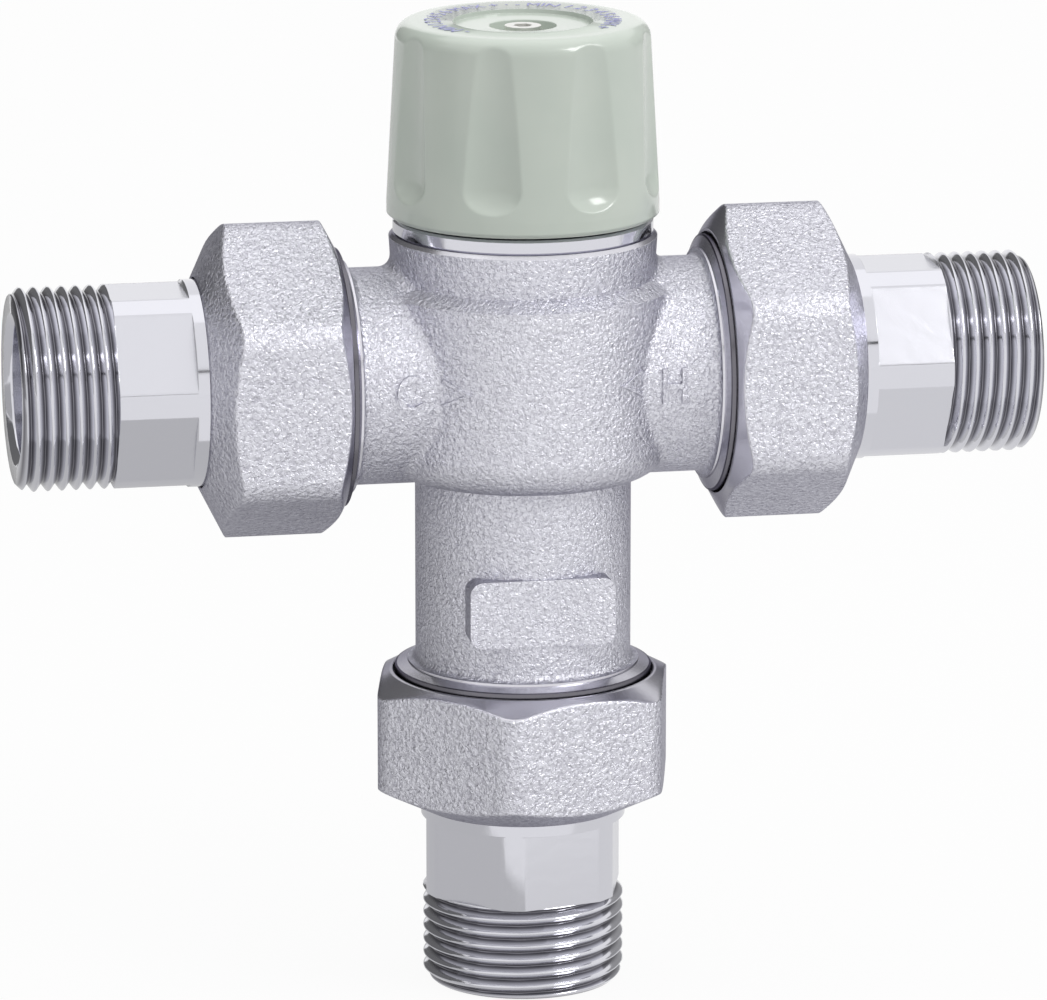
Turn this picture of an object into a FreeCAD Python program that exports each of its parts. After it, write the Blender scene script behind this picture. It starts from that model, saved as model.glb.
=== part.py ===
import FreeCAD, Part
import math
import os
import Sketcher

"""A thermostatic mixing valve with three union ends, in millimetres.

The origin is the centre of the end face of the outlet tail, +Z runs up to the knob and +X
towards the hot inlet. The two inlets share one axis, axis_height above the origin.
Cold water enters from -X, passes over the top edge of the shuttle, meets the hot water that
passes under its bottom edge, and leaves down the outlet past the wax element.
"""

SIZES = [
    # body casting
    ("arm_length", 16.1, "side of the barrel to the end face of an inlet port"),
    ("outlet_face_distance", 50.4, "inlet axis to the end face of the outlet port"),
    ("barrel_radius", 19.3, "main barrel"),
    ("ledge_drop", 2.75, "ledge of the barrel below the top of the arms"),
    ("ledge_width", 1.9, "step at the ledge from the barrel to the neck"),
    ("underside_rise", 0.75, "underside of the barrel above the bottom of the arms"),
    ("neck_waist", 0.35, "how much slimmer the neck is just above the ledge"),
    ("body_top", 18.4, "top face above the inlet axis"),
    ("body_top_chamfer", 0.5, "machined edge of the top face"),
    ("arm_radius", 14.05, "cast part of an inlet arm"),
    ("tube_radius", 14.05, "cast part of the outlet tube"),
    ("cast_rim_radius", 15.1, "end of the cast skin at a port"),
    ("cast_rim_step", 0.3, "step from the cast skin to the turned shoulder"),
    ("shoulder_height", 0.6, "turned cone between that step and the collar"),
    ("collar_radius", 16.75, "turned collar in the mouth of a union nut"),
    ("collar_length", 1.5, "cylindrical length of the collar"),
    ("saddle_fillet", 1.6, "cast fillet between arms, neck and barrel"),
    ("ledge_slope", 1.4, "height over which the ledge runs into the neck"),
    ("port_thread_radius", 16.3, "union thread of a port, as a plain cylinder"),
    ("port_thread_length", 9.7, "union thread of a port"),
    ("port_chamfer", 0.8, "end chamfer of a port's thread"),
    ("pad_width", 19.0, "wrench pad across the outlet tube"),
    ("pad_height", 8.8, "wrench pad along the outlet tube"),
    ("pad_drop", 29.1, "centre of the wrench pad below the inlet axis"),
    ("pad_reach", 14.35, "face of the wrench pad from the valve axis"),
    ("pad_corner", 1.7, "corner radius of the wrench pad"),
    # bores of the body
    ("head_thread_radius", 14.6, "threaded bore for the headwork"),
    ("head_thread_depth", 7.4, "depth of that bore from the top face"),
    ("chamber_radius", 14.2, "cold and hot chambers"),
    ("web_radius", 11.0, "bore of the web between the chambers"),
    ("web_half_thickness", 2.0, "half the thickness of that web"),
    ("hot_seat_drop", 9.2, "hot seat below the inlet axis"),
    ("hot_seat_bore", 9.0, "bore through the hot seat"),
    ("hot_seat_thickness", 2.4, "thickness of the hot seat"),
    ("mixing_radius", 10.8, "bore of the outlet tube"),
    ("inlet_bore_radius", 9.5, "bore of an inlet arm"),
    ("inlet_bore_end", 17.0, "end of that bore from the valve axis"),
    ("slot_half_width", 8.0, "half width of the slot from a bore to its chamber"),
    ("slot_inner_end", 10.0, "where the slot ends inside the chamber"),
    # headwork
    ("bonnet_flange_inset", 0.55, "edge of the bright flange inside the neck's"),
    ("bonnet_flange_thickness", 1.95, "thickness of that flange"),
    ("bonnet_flange_chamfer", 0.3, "edge chamfer of the flange"),
    ("bonnet_neck_radius", 10.6, "lower neck of the bonnet"),
    ("bonnet_neck_top", 7.6, "top of the lower neck above the body"),
    ("bonnet_tip_radius", 7.2, "upper neck of the bonnet"),
    ("bonnet_tip_top", 13.6, "top of the upper neck above the body"),
    ("cold_seat_rise", 9.0, "cold seat above the inlet axis"),
    ("guide_across_flats", 14.0, "hexagonal guide in the bonnet"),
    ("guide_top", 24.0, "ceiling of the guide above the inlet axis"),
    ("head_o_ring_section", 1.5, "section of the bonnet's O-ring"),
    ("head_o_ring_rise", 10.2, "bonnet's O-ring above the inlet axis"),
    # spindle
    ("spindle_radius", 4.5, "shaft of the spindle"),
    ("spindle_flange_radius", 6.6, "shoulder that keeps the spindle in"),
    ("spindle_flange_thickness", 2.0, "thickness of that shoulder"),
    ("hub_seat_thickness", 3.7, "knob between its screw's pocket and the spindle's end"),
    ("spindle_flats", 6.6, "across the two flats for the knob"),
    ("spindle_flats_length", 6.6, "length of the two flats"),
    ("lift_thread_radius", 3.1, "threaded bore that lifts the carrier"),
    ("lift_thread_pitch", 1.5, "pitch of that thread"),
    ("lift_thread_length", 8.6, "depth of that thread"),
    ("knob_turn_each_way", 150.0, "degrees that the knob turns each way"),
    ("spindle_o_ring_section", 1.1, "section of the spindle's O-ring"),
    # knob
    ("knob_base_radius", 17.65, "widest radius of the knob"),
    ("knob_crown_radius", 16.35, "radius of the knob where its top rounding starts"),
    ("knob_height", 25.25, "knob from its base to its top face"),
    ("knob_base_gap", 0.3, "gap between the knob and the bonnet's flange"),
    ("knob_band_height", 2.0, "height of the widest band"),
    ("knob_crown_rounding", 2.2, "rounding round the top face"),
    ("knob_base_chamfer", 0.45, "chamfer round the base"),
    ("knob_wall", 2.3, "wall of the knob's skirt at the base"),
    ("knob_roof", 3.4, "thickness of the knob's top"),
    ("flute_count", 8, "flutes round the knob"),
    ("flute_depth", 1.2, "deepest point of a flute"),
    ("flute_cutter_radius", 11.5, "radius of a flute's hollow"),
    ("flute_end_rounding", 5.0, "rounding of a flute's lower end"),
    ("flute_rise", 2.1, "lower end of the flutes above the knob's base"),
    ("flute_vanish", 21.6, "height over the base where the flutes run out"),
    ("dial_recess_radius", 9.02, "round recess in the knob's top"),
    ("dial_recess_depth", 0.7, "depth of that recess"),
    ("screw_pocket_radius", 4.3, "pocket round the knob's screw"),
    ("screw_pocket_depth", 1.5, "depth of that pocket below the recess"),
    ("hub_radius", 6.2, "hub inside the knob"),
    ("hub_drop", 12.2, "lower end of the hub below the knob's top face"),
    ("rib_thickness", 1.2, "ribs between the hub and the skirt"),
    ("rib_depth", 5.0, "height of those ribs under the roof"),
    ("screw_head_radius", 2.35, "head of the knob's screw"),
    ("screw_shank_radius", 1.5, "shank of the knob's screw"),
    ("screw_shank_length", 8.4, "shank of the knob's screw"),
    ("screw_socket_radius", 1.25, "hexagonal socket of that screw, over its corners"),
    ("screw_socket_depth", 1.1, "depth of that socket"),
    # carrier and overtravel unit
    ("carrier_base", 10.0, "lower face of the carrier above the inlet axis"),
    ("carrier_cup_radius", 5.7, "bore of the carrier's cup"),
    ("carrier_roof", 1.8, "roof of the carrier's cup"),
    ("overtravel", 0.8, "how far the pusher can yield upwards"),
    ("pusher_thickness", 1.6, "disc of the pusher"),
    ("pusher_boss_radius", 2.6, "boss that centres the overtravel spring"),
    ("pusher_boss_height", 1.6, "height of that boss"),
    ("overtravel_wire", 0.9, "wire of the overtravel spring"),
    ("overtravel_coil_radius", 4.3, "mean radius of the overtravel spring"),
    ("overtravel_turns", 4.0, "turns of the overtravel spring"),
    ("circlip_thickness", 0.6, "retaining rings"),
    ("circlip_groove_depth", 0.55, "depth of a retaining ring's groove"),
    ("circlip_gap_degrees", 50.0, "opening of a retaining ring"),
    # thermostat
    ("pin_radius", 1.5, "pin of the wax element"),
    ("pin_end_rise", 4.2, "tip of the pin above the inlet axis"),
    ("element_neck_radius", 3.2, "neck of the wax element"),
    ("element_neck_top", 8.4, "top of that neck above the inlet axis"),
    ("element_flange_radius", 6.0, "flange of the wax element"),
    ("element_flange_thickness", 2.0, "thickness of that flange"),
    ("element_bulb_radius", 4.6, "bulb of the wax element"),
    ("element_bulb_length", 19.5, "bulb below the flange"),
    ("cold_gap", 2.0, "opening at the cold seat at rest"),
    ("hot_gap", 1.5, "opening at the hot seat at rest"),
    ("shuttle_radius", 10.9, "outside of the shuttle"),
    ("shuttle_wall", 1.5, "wall of the shuttle"),
    ("shuttle_web_thickness", 2.0, "spoked web of the shuttle"),
    ("shuttle_web_top", -0.4, "top of that web above the inlet axis"),
    ("shuttle_window_radius", 1.75, "windows between the spokes"),
    ("shuttle_window_circle", 7.05, "circle of those windows"),
    ("shuttle_window_count", 8, "number of those windows"),
    ("shuttle_o_ring_section", 1.1, "section of the shuttle's O-ring"),
    ("shuttle_o_ring_rise", 1.0, "shuttle's O-ring above the inlet axis"),
    ("return_wire", 1.1, "wire of the return spring"),
    ("return_coil_radius", 6.2, "mean radius of the return spring"),
    ("return_turns", 6.0, "turns of the return spring"),
    ("spring_guide_drop", 24.0, "upper face of the spring guide below the inlet axis"),
    ("spring_guide_thickness", 2.0, "thickness of the spring guide"),
    ("guide_window_radius", 1.5, "windows of the spring guide"),
    ("guide_window_circle", 8.9, "circle of those windows"),
    ("guide_window_count", 8, "number of those windows"),
    # check valves and strainers
    ("cage_radius", 9.3, "outside of a check valve's cage"),
    ("cage_wall", 1.5, "wall of that cage"),
    ("cage_length", 14.0, "length of that cage behind the port's face"),
    ("cage_flange_radius", 11.0, "flange that seats in the port's face"),
    ("cage_flange_thickness", 1.6, "thickness of that flange"),
    ("cage_seat_bore", 5.4, "bore of the check valve's seat"),
    ("cage_seat_thickness", 1.6, "thickness of that seat"),
    ("cage_hub_radius", 2.2, "hub that guides the poppet"),
    ("cage_spoke_width", 1.6, "spokes that carry the hub"),
    ("cage_spoke_thickness", 2.2, "thickness of hub and spokes along the bore"),
    ("poppet_head_radius", 6.6, "head of the poppet"),
    ("poppet_head_thickness", 1.4, "rim of the poppet's head"),
    ("poppet_nose_height", 1.2, "domed nose of the poppet in the seat"),
    ("poppet_stem_radius", 1.1, "stem of the poppet"),
    ("check_wire", 0.5, "wire of the check valve's spring"),
    ("check_coil_radius", 3.1, "mean radius of that spring"),
    ("check_turns", 4.0, "turns of that spring"),
    ("check_o_ring_section", 0.9, "section of the cage's O-ring"),
    ("check_o_ring_depth", 6.0, "cage's O-ring behind the port's face"),
    ("strainer_radius", 8.6, "strainer basket in a tail"),
    ("strainer_length", 9.0, "length of that basket"),
    ("strainer_wall", 0.6, "wall of that basket"),
    ("strainer_slot_width", 2.0, "slots of the strainer"),
    ("strainer_slot_count", 8, "number of those slots"),
    # union ends
    ("gasket_radius", 15.7, "outside of a gasket"),
    ("gasket_bore", 9.2, "bore of a gasket"),
    ("gasket_thickness", 1.6, "thickness of a gasket"),
    ("tail_length", 29.5, "tail from its flange face to its end"),
    ("tail_flange_radius", 15.8, "flange of a tail inside the nut"),
    ("tail_flange_thickness", 2.6, "thickness of that flange"),
    ("tail_radius", 13.4, "plain part of a tail"),
    ("tail_bore", 9.0, "bore of a tail"),
    ("tail_bore_chamfer", 0.9, "chamfer of the bore at the tail's end"),
    ("pipe_thread_radius", 13.22, "major radius of the 3/4-inch pipe thread"),
    ("pipe_thread_length", 12.2, "length of that thread"),
    ("pipe_thread_chamfer", 1.0, "end chamfer of that thread"),
    ("tail_flat_length", 10.0, "length of the six wrench flats"),
    ("tail_flat_apothem", 12.25, "axis to each wrench flat"),
    ("nut_across_flats", 37.0, "union nut"),
    ("nut_corner_radius", 4.0, "rounded corners of the nut"),
    ("nut_lip_thickness", 3.1, "lip that pulls the tail's flange"),
    ("nut_thread_length", 14.9, "bore of the nut behind the flange"),
    ("nut_mouth_radius", 17.05, "plain mouth of the nut round the collar"),
    ("nut_mouth_depth", 1.2, "depth of that mouth"),
    ("nut_rim_radius", 17.25, "rim of the nut at the body"),
    ("nut_rim_chamfer", 2.2, "length of the chamfer at the rim"),
    ("nut_crown_chamfer", 3.9, "length of the cone at the outer end"),
    # fits
    ("gap", 0.3, "clearance between pieces that move past each other"),
    ("slip", 0.1, "clearance of close sliding and threaded fits"),
    ("seat_play", 0.1, "play left at a stop"),
]

XY = "XY_Plane"
XZ = "XZ_Plane"
FULL_TURN = 360.0
TOLERANCE = 1e-6
HEXAGON = 6
KNOB_TURN = FULL_TURN / 16  # the flutes lie either side of the front
NUT_TURN = {"hot": -1.0, "cold": -2.4, "outlet": -10.2}  # degrees of each nut's corners
TAIL_TURN = {"hot": 0.0, "cold": 0.0, "outlet": 15.6}  # degrees of each tail's flats

doc = FreeCAD.newDocument("ThermostaticMixingValve")
sheet = doc.addObject("Spreadsheet::Sheet", "sizes")
subparts = []


class Size:
    """A length of the sheet, or one worked out from it: its value and its expression."""

    def __init__(self, value, text):
        self.value = value
        self.text = text

    def __add__(self, other):
        return joined(self, "+", other)

    def __radd__(self, other):
        return joined(other, "+", self)

    def __sub__(self, other):
        return joined(self, "-", other)

    def __rsub__(self, other):
        return joined(other, "-", self)

    def __mul__(self, other):
        return joined(self, "*", other)

    def __rmul__(self, other):
        return joined(other, "*", self)

    def __truediv__(self, other):
        return joined(self, "/", other)

    def __neg__(self):
        return joined(0.0, "-", self)


def as_size(item):
    """A plain number as a Size; a Size stays itself."""
    if isinstance(item, Size):
        return item
    return Size(float(item), "(%.12f)" % item)


def joined(left, sign, right):
    """The Size that left sign right gives."""
    a = as_size(left)
    b = as_size(right)
    results = {
        "+": a.value + b.value,
        "-": a.value - b.value,
        "*": a.value * b.value,
        "/": a.value / b.value if b.value else 0.0,
    }
    return Size(results[sign], "(%s %s %s)" % (a.text, sign, b.text))


class Sheet:
    """Every named size of the sheet as an attribute."""


S = Sheet()
for row, (alias, number, note) in enumerate(SIZES, start=1):
    sheet.set("A%d" % row, alias)
    sheet.set("B%d" % row, repr(number))
    sheet.set("C%d" % row, note)
    sheet.setAlias("B%d" % row, alias)
    setattr(S, alias, Size(float(number), "sizes." + alias))
doc.recompute()


# ---- drawing helpers ---------------------------------------------------------------------


def new_body(label):
    """A new sub-part, made as a PartDesign body."""
    body = doc.addObject("PartDesign::Body", label)
    body.Label = label
    subparts.append(body)
    return body


def place(body, axis=FreeCAD.Vector(0, 0, 1), angle=0.0, **base):
    """Stand a sub-part at a place bound to the sheet, turned about an axis."""
    body.Placement = FreeCAD.Placement(FreeCAD.Vector(), FreeCAD.Rotation(axis, angle))
    for coordinate, size in base.items():
        body.setExpression("Placement.Base." + coordinate, as_size(size).text)


def new_sketch(body, role, offset=None):
    """An empty sketch on one of the body's own origin planes, moved along its normal."""
    sketch = body.newObject("Sketcher::SketchObject", body.Label + "_sketch")
    plane = [item for item in body.Origin.OriginFeatures if item.Role == role][0]
    sketch.AttachmentSupport = [(plane, "")]
    sketch.MapMode = "FlatFace"
    if offset is not None:
        sketch.setExpression("AttachmentOffset.Base.z", as_size(offset).text)
    return sketch


def pin_point(sketch, edge, end, x, y):
    """Hold one end of a sketch edge at a place bound to the sheet."""
    for kind, coordinate, axis in (("DistanceX", x, -2), ("DistanceY", y, -1)):
        size = as_size(coordinate)
        if abs(size.value) < TOLERANCE and not isinstance(coordinate, Size):
            sketch.addConstraint(Sketcher.Constraint("PointOnObject", edge, end, axis))
            continue
        index = sketch.addConstraint(Sketcher.Constraint(kind, edge, end, size.value))
        sketch.setExpression("Constraints[%d]" % index, size.text)


def add_polygon(sketch, points):
    """A closed outline of straight edges through the points."""
    corners = [FreeCAD.Vector(as_size(x).value, as_size(y).value, 0) for x, y in points]
    first = sketch.GeometryCount
    count = len(points)
    for k in range(count):
        sketch.addGeometry(Part.LineSegment(corners[k], corners[(k + 1) % count]))
    for k in range(count):
        following = first + (k + 1) % count
        sketch.addConstraint(Sketcher.Constraint("Coincident", first + k, 2, following, 1))
    for k, (x, y) in enumerate(points):
        pin_point(sketch, first + k, 1, x, y)


def add_circle(sketch, radius, x=0, y=0):
    """A circle in a sketch."""
    size = as_size(radius)
    centre = FreeCAD.Vector(as_size(x).value, as_size(y).value, 0)
    edge = sketch.addGeometry(Part.Circle(centre, FreeCAD.Vector(0, 0, 1), size.value))
    pin_point(sketch, edge, 3, x, y)
    index = sketch.addConstraint(Sketcher.Constraint("Radius", edge, size.value))
    sketch.setExpression("Constraints[%d]" % index, size.text)


def feature(body, kind, sketch=None):
    """A new PartDesign feature on a body, with its sketch."""
    made = body.newObject("PartDesign::" + kind, body.Label + "_" + kind)
    if sketch is not None:
        made.Profile = sketch
    return made


def changed(body, made, grows):
    """Recompute and make sure that the feature added or removed material."""
    before = body.Shape.Volume if not body.Shape.isNull() else 0.0
    doc.recompute()
    after = body.Shape.Volume
    if grows != (after > before + TOLERANCE):
        raise RuntimeError("%s changed the volume the wrong way" % made.Name)


def turn(body, points, cut=False, axis="V_Axis"):
    """A revolved piece of material, or a revolved cut, from an outline in the XZ plane."""
    sketch = new_sketch(body, XZ)
    add_polygon(sketch, points)
    made = feature(body, "Groove" if cut else "Revolution", sketch)
    made.ReferenceAxis = (sketch, [axis])
    made.Angle = FULL_TURN
    changed(body, made, not cut)
    return made


def ring(body, inner, outer, low, high, cut=False, axis="V_Axis"):
    """A turned ring or disc between two radii and two heights."""
    points = [(inner, low), (outer, low), (outer, high), (inner, high)]
    if axis == "H_Axis":
        points = [(z, radius) for radius, z in points]
    return turn(body, points, cut, axis)


def extrude(body, sketch, length, cut=False, midplane=False, reversed_side=False):
    """A pad or a pocket of one length."""
    made = feature(body, "Pocket" if cut else "Pad", sketch)
    made.Type = "Length"
    made.setExpression("Length", as_size(length).text)
    made.Midplane = midplane
    made.Reversed = reversed_side
    changed(body, made, not cut)
    return made


def edges_where(body, test):
    """Names of the edges of a body's present shape that pass a test."""
    edges = body.Tip.Shape.Edges
    return ["Edge%d" % (k + 1) for k, edge in enumerate(edges) if test(edge)]


def dress(body, kind, size, test):
    """Fillet or chamfer the edges that pass a test."""
    names = edges_where(body, test)
    if not names:
        raise RuntimeError("no edge to dress on " + body.Label)
    made = feature(body, kind)
    made.Base = (body.Tip if body.Tip != made else body.Group[-2], names)
    made.setExpression("Radius" if kind == "Fillet" else "Size", as_size(size).text)
    before = body.Shape.Volume
    doc.recompute()
    if abs(body.Shape.Volume - before) < TOLERANCE:
        raise RuntimeError("%s left %s as it was" % (made.Name, body.Label))
    return made


def is_circle(edge, radius, height=None, axis=2):
    """Whether an edge is a circle of a radius, and lies at a height along an axis."""
    if not isinstance(edge.Curve, Part.Circle):
        return False
    if abs(edge.Curve.Radius - as_size(radius).value) > 1e-4:
        return False
    if height is None:
        return True
    return abs(edge.Curve.Center[axis] - as_size(height).value) < 1e-4


def polar(body, made, count):
    """Repeat the last feature evenly round the body's own Z axis."""
    pattern = feature(body, "PolarPattern")
    axes = [item for item in body.Origin.OriginFeatures if item.Role == "Z_Axis"]
    pattern.Originals = [made]
    pattern.Axis = (axes[0], [""])
    pattern.Angle = FULL_TURN
    pattern.setExpression("Occurrences", as_size(count).text)
    body.Tip = pattern
    doc.recompute()
    return pattern


def hexagon(across_flats, first_corner=0.0):
    """Corner points of a hexagon with its first corner at an angle in degrees."""
    reach = across_flats / math.sqrt(3.0)
    angles = [math.radians(first_corner + 60.0 * k) for k in range(HEXAGON)]
    return [(reach * math.cos(a), reach * math.sin(a)) for a in angles]


def coil(label, wire, radius, low, high, turns):
    """A compression spring of round wire whose ends lie within two heights."""
    body = new_body(label)
    sketch = new_sketch(body, XZ)
    add_circle(sketch, wire / 2, radius, low + wire / 2)
    made = feature(body, "AdditiveHelix", sketch)
    made.ReferenceAxis = (sketch, ["V_Axis"])
    made.Mode = "pitch-height-angle"
    span = high - low - wire
    made.setExpression("Height", span.text)
    made.setExpression("Pitch", (span / turns).text)
    doc.recompute()
    return body


def squeezed_ring(label, inner, outer, middle, section):
    """An O-ring seated in its groove: a round section squeezed flat inside and outside."""
    body = new_body(label)
    half = section / 2
    slope = half * 0.42
    points = [
        (inner, middle - slope),
        (inner + slope, middle - half),
        (outer - slope, middle - half),
        (outer, middle - slope),
        (outer, middle + slope),
        (outer - slope, middle + half),
        (inner + slope, middle + half),
        (inner, middle + slope),
    ]
    turn(body, points)
    return body


def circlip(label, inner, outer, low):
    """A flat retaining ring with an opening."""
    body = new_body(label)
    sketch = new_sketch(body, XZ)
    high = low + S.circlip_thickness
    add_polygon(sketch, [(inner, low), (outer, low), (outer, high), (inner, high)])
    made = feature(body, "Revolution", sketch)
    made.ReferenceAxis = (sketch, ["V_Axis"])
    made.setExpression("Angle", (FULL_TURN - S.circlip_gap_degrees).text)
    doc.recompute()
    return body


# ---- places worked out from the sizes ----------------------------------------------------

axis_height = S.outlet_face_distance + S.gasket_thickness + S.tail_length
inlet_face = S.barrel_radius + S.arm_length
neck_radius = S.barrel_radius - S.ledge_width
barrel_top = S.arm_radius - S.ledge_drop
barrel_bottom = S.arm_radius - S.underside_rise
flare = (S.cast_rim_radius - S.arm_radius) * 0.84
bonnet_flange = neck_radius - S.bonnet_flange_inset
body_top = S.body_top
flange_top = S.body_top + S.bonnet_flange_thickness
knob_base = flange_top + S.knob_base_gap
knob_top = knob_base + S.knob_height
spindle_top = knob_top - S.dial_recess_depth - S.screw_pocket_depth - S.hub_seat_thickness
shuttle_top = S.cold_seat_rise - S.cold_gap
shuttle_bottom = S.hot_gap - S.hot_seat_drop
shuttle_bore = S.shuttle_radius - S.shuttle_wall
web_top = S.shuttle_web_top
web_low = S.shuttle_web_top - S.shuttle_web_thickness
half_lift = S.lift_thread_pitch * S.knob_turn_each_way / FULL_TURN
spindle_shoulder = S.guide_top - S.spindle_flange_thickness - S.seat_play
carrier_top = spindle_shoulder - half_lift - S.seat_play
cup_roof = carrier_top - S.carrier_roof
circlip_low = S.carrier_base + S.circlip_thickness
pusher_low = circlip_low + S.circlip_thickness
pusher_top = pusher_low + S.pusher_thickness
guide_top_z = -S.spring_guide_drop
guide_low_z = guide_top_z - S.spring_guide_thickness
thread_start = inlet_face - S.port_thread_length
collar_start = thread_start - S.collar_length
shoulder_start = collar_start - S.shoulder_height
cast_end = shoulder_start - S.cast_rim_step
outlet_thread_start = S.outlet_face_distance - S.port_thread_length
outlet_collar_start = outlet_thread_start - S.collar_length
outlet_shoulder_start = outlet_collar_start - S.shoulder_height
outlet_cast_end = outlet_shoulder_start - S.cast_rim_step


# ---- body --------------------------------------------------------------------------------


def make_body():
    """The cast body: barrel, neck, two arms and outlet tube, with its chambers and bores.

    It is drawn about the crossing of the inlet axis and the valve axis, and stands on the
    outlet port.
    """
    body = new_body("valve_body")
    place(body, z=axis_height)
    down = -S.outlet_face_distance
    corner = S.barrel_radius - S.tube_radius
    step = barrel_top + S.ledge_slope
    turn(
        body,
        [
            (0, down),
            (S.port_thread_radius, down),
            (S.port_thread_radius, -outlet_thread_start),
            (S.collar_radius, -outlet_thread_start),
            (S.collar_radius, -outlet_collar_start),
            (S.cast_rim_radius, -outlet_shoulder_start),
            (S.cast_rim_radius, -outlet_cast_end),
            (S.tube_radius, -outlet_cast_end),
            (S.tube_radius, -barrel_bottom),
            (S.barrel_radius, -barrel_bottom),
            (S.barrel_radius, barrel_top),
            (neck_radius - S.neck_waist, step),
            (neck_radius, body_top),
            (0, body_top),
        ],
    )
    dress(
        body,
        "Fillet",
        corner * 0.9,
        lambda edge: is_circle(edge, S.barrel_radius, -barrel_bottom),
    )
    arm = [
        (-inlet_face, 0),
        (-inlet_face, S.port_thread_radius),
        (-thread_start, S.port_thread_radius),
        (-thread_start, S.collar_radius),
        (-collar_start, S.collar_radius),
        (-shoulder_start, S.cast_rim_radius),
        (-cast_end, S.cast_rim_radius),
        (-cast_end, S.arm_radius),
        (cast_end, S.arm_radius),
        (cast_end, S.cast_rim_radius),
        (shoulder_start, S.cast_rim_radius),
        (collar_start, S.collar_radius),
        (thread_start, S.collar_radius),
        (thread_start, S.port_thread_radius),
        (inlet_face, S.port_thread_radius),
        (inlet_face, 0),
    ]
    turn(body, arm, axis="H_Axis")
    round_saddles(body)
    for side in (1, -1):
        make_pad(body, side)
    round_flares(body)
    cut_chambers(body)
    return body


def round_saddles(body):
    """Round the hollow edges where the arms leave the barrel, the neck and the tube."""

    def saddle(edge):
        box = edge.BoundBox
        inside = max(abs(box.XMin), abs(box.XMax)) < S.barrel_radius.value - TOLERANCE
        curved = isinstance(edge.Curve, Part.BSplineCurve)
        return curved and inside

    dress(body, "Fillet", S.saddle_fillet, saddle)


def make_pad(body, side):
    """A cast wrench pad across the outlet tube, on the front or the back."""
    sketch = new_sketch(body, XZ)
    half = S.pad_width / 2
    low = -S.pad_drop - S.pad_height / 2
    high = -S.pad_drop + S.pad_height / 2
    add_polygon(sketch, [(-half, low), (half, low), (half, high), (-half, high)])
    extrude(body, sketch, S.pad_reach, reversed_side=(side < 0))
    reach = S.pad_reach.value

    def corner(edge):
        box = edge.BoundBox
        outer = abs(abs(box.XMin) - half.value) < TOLERANCE and box.XLength < TOLERANCE
        front = abs(max(abs(box.YMin), abs(box.YMax)) - reach) < 1e-3
        facing = (box.YMin + box.YMax) * side < 0
        return outer and front and facing and box.ZLength < TOLERANCE and box.YLength > 1

    dress(body, "Fillet", S.pad_corner, corner)


def round_flares(body):
    """The hollow flares that lead from arms and tube up to the machined collars."""

    def foot(edge):
        on_arm = is_circle(edge, S.arm_radius, cast_end, 0)
        on_arm = on_arm or is_circle(edge, S.arm_radius, -cast_end, 0)
        return on_arm or is_circle(edge, S.tube_radius, -outlet_cast_end)

    dress(body, "Fillet", flare, foot)
    dress(
        body,
        "Chamfer",
        S.port_chamfer,
        lambda edge: is_circle(edge, S.port_thread_radius, -S.outlet_face_distance)
        or is_circle(edge, S.port_thread_radius, inlet_face, 0)
        or is_circle(edge, S.port_thread_radius, -inlet_face, 0),
    )
    dress(
        body,
        "Chamfer",
        S.body_top_chamfer,
        lambda edge: is_circle(edge, neck_radius, S.body_top),
    )


def cut_chambers(body):
    """The bores: headwork thread, cold chamber, web, hot chamber, seat, tube and inlets."""
    thread_low = body_top - S.head_thread_depth
    web = S.web_half_thickness
    seat_top = -S.hot_seat_drop
    seat_low = seat_top - S.hot_seat_thickness
    ledge = guide_top_z
    groove_radius = S.mixing_radius + S.circlip_groove_depth
    groove_low = guide_low_z - S.circlip_thickness
    turn(
        body,
        [
            (0, -S.outlet_face_distance),
            (S.mixing_radius, -S.outlet_face_distance),
            (S.mixing_radius, groove_low),
            (groove_radius, groove_low),
            (groove_radius, guide_low_z),
            (S.mixing_radius, guide_low_z),
            (S.mixing_radius, ledge),
            (S.mixing_radius - S.slip * 10, ledge),
            (S.mixing_radius - S.slip * 10, seat_low - S.hot_seat_thickness),
            (S.hot_seat_bore, seat_low),
            (S.hot_seat_bore, seat_top),
            (S.chamber_radius, seat_top),
            (S.chamber_radius, -web),
            (S.web_radius, -web),
            (S.web_radius, web),
            (S.chamber_radius, web),
            (S.chamber_radius, thread_low),
            (S.head_thread_radius, thread_low),
            (S.head_thread_radius, body_top),
            (0, body_top),
        ],
        cut=True,
    )
    seat_depth = S.cage_flange_thickness
    for side in (1, -1):
        face = side * inlet_face
        step = side * (inlet_face - seat_depth)
        end = side * S.inlet_bore_end
        turn(
            body,
            [
                (end, 0),
                (end, S.inlet_bore_radius),
                (step, S.inlet_bore_radius),
                (step, S.cage_flange_radius + S.slip),
                (face, S.cage_flange_radius + S.slip),
                (face, 0),
            ],
            cut=True,
            axis="H_Axis",
        )
    cut_slot(body, 1, seat_top, -web)
    cut_slot(body, -1, web, S.cold_seat_rise)


def cut_slot(body, side, low, high):
    """The slot that leads an inlet's water into its own chamber."""
    sketch = new_sketch(body, XZ)
    inner = side * S.slot_inner_end
    outer = side * (S.inlet_bore_end + S.slip)
    add_polygon(sketch, [(inner, low), (outer, low), (outer, high), (inner, high)])
    extrude(body, sketch, 2 * S.slot_half_width, cut=True, midplane=True)


# ---- headwork ----------------------------------------------------------------------------


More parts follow.
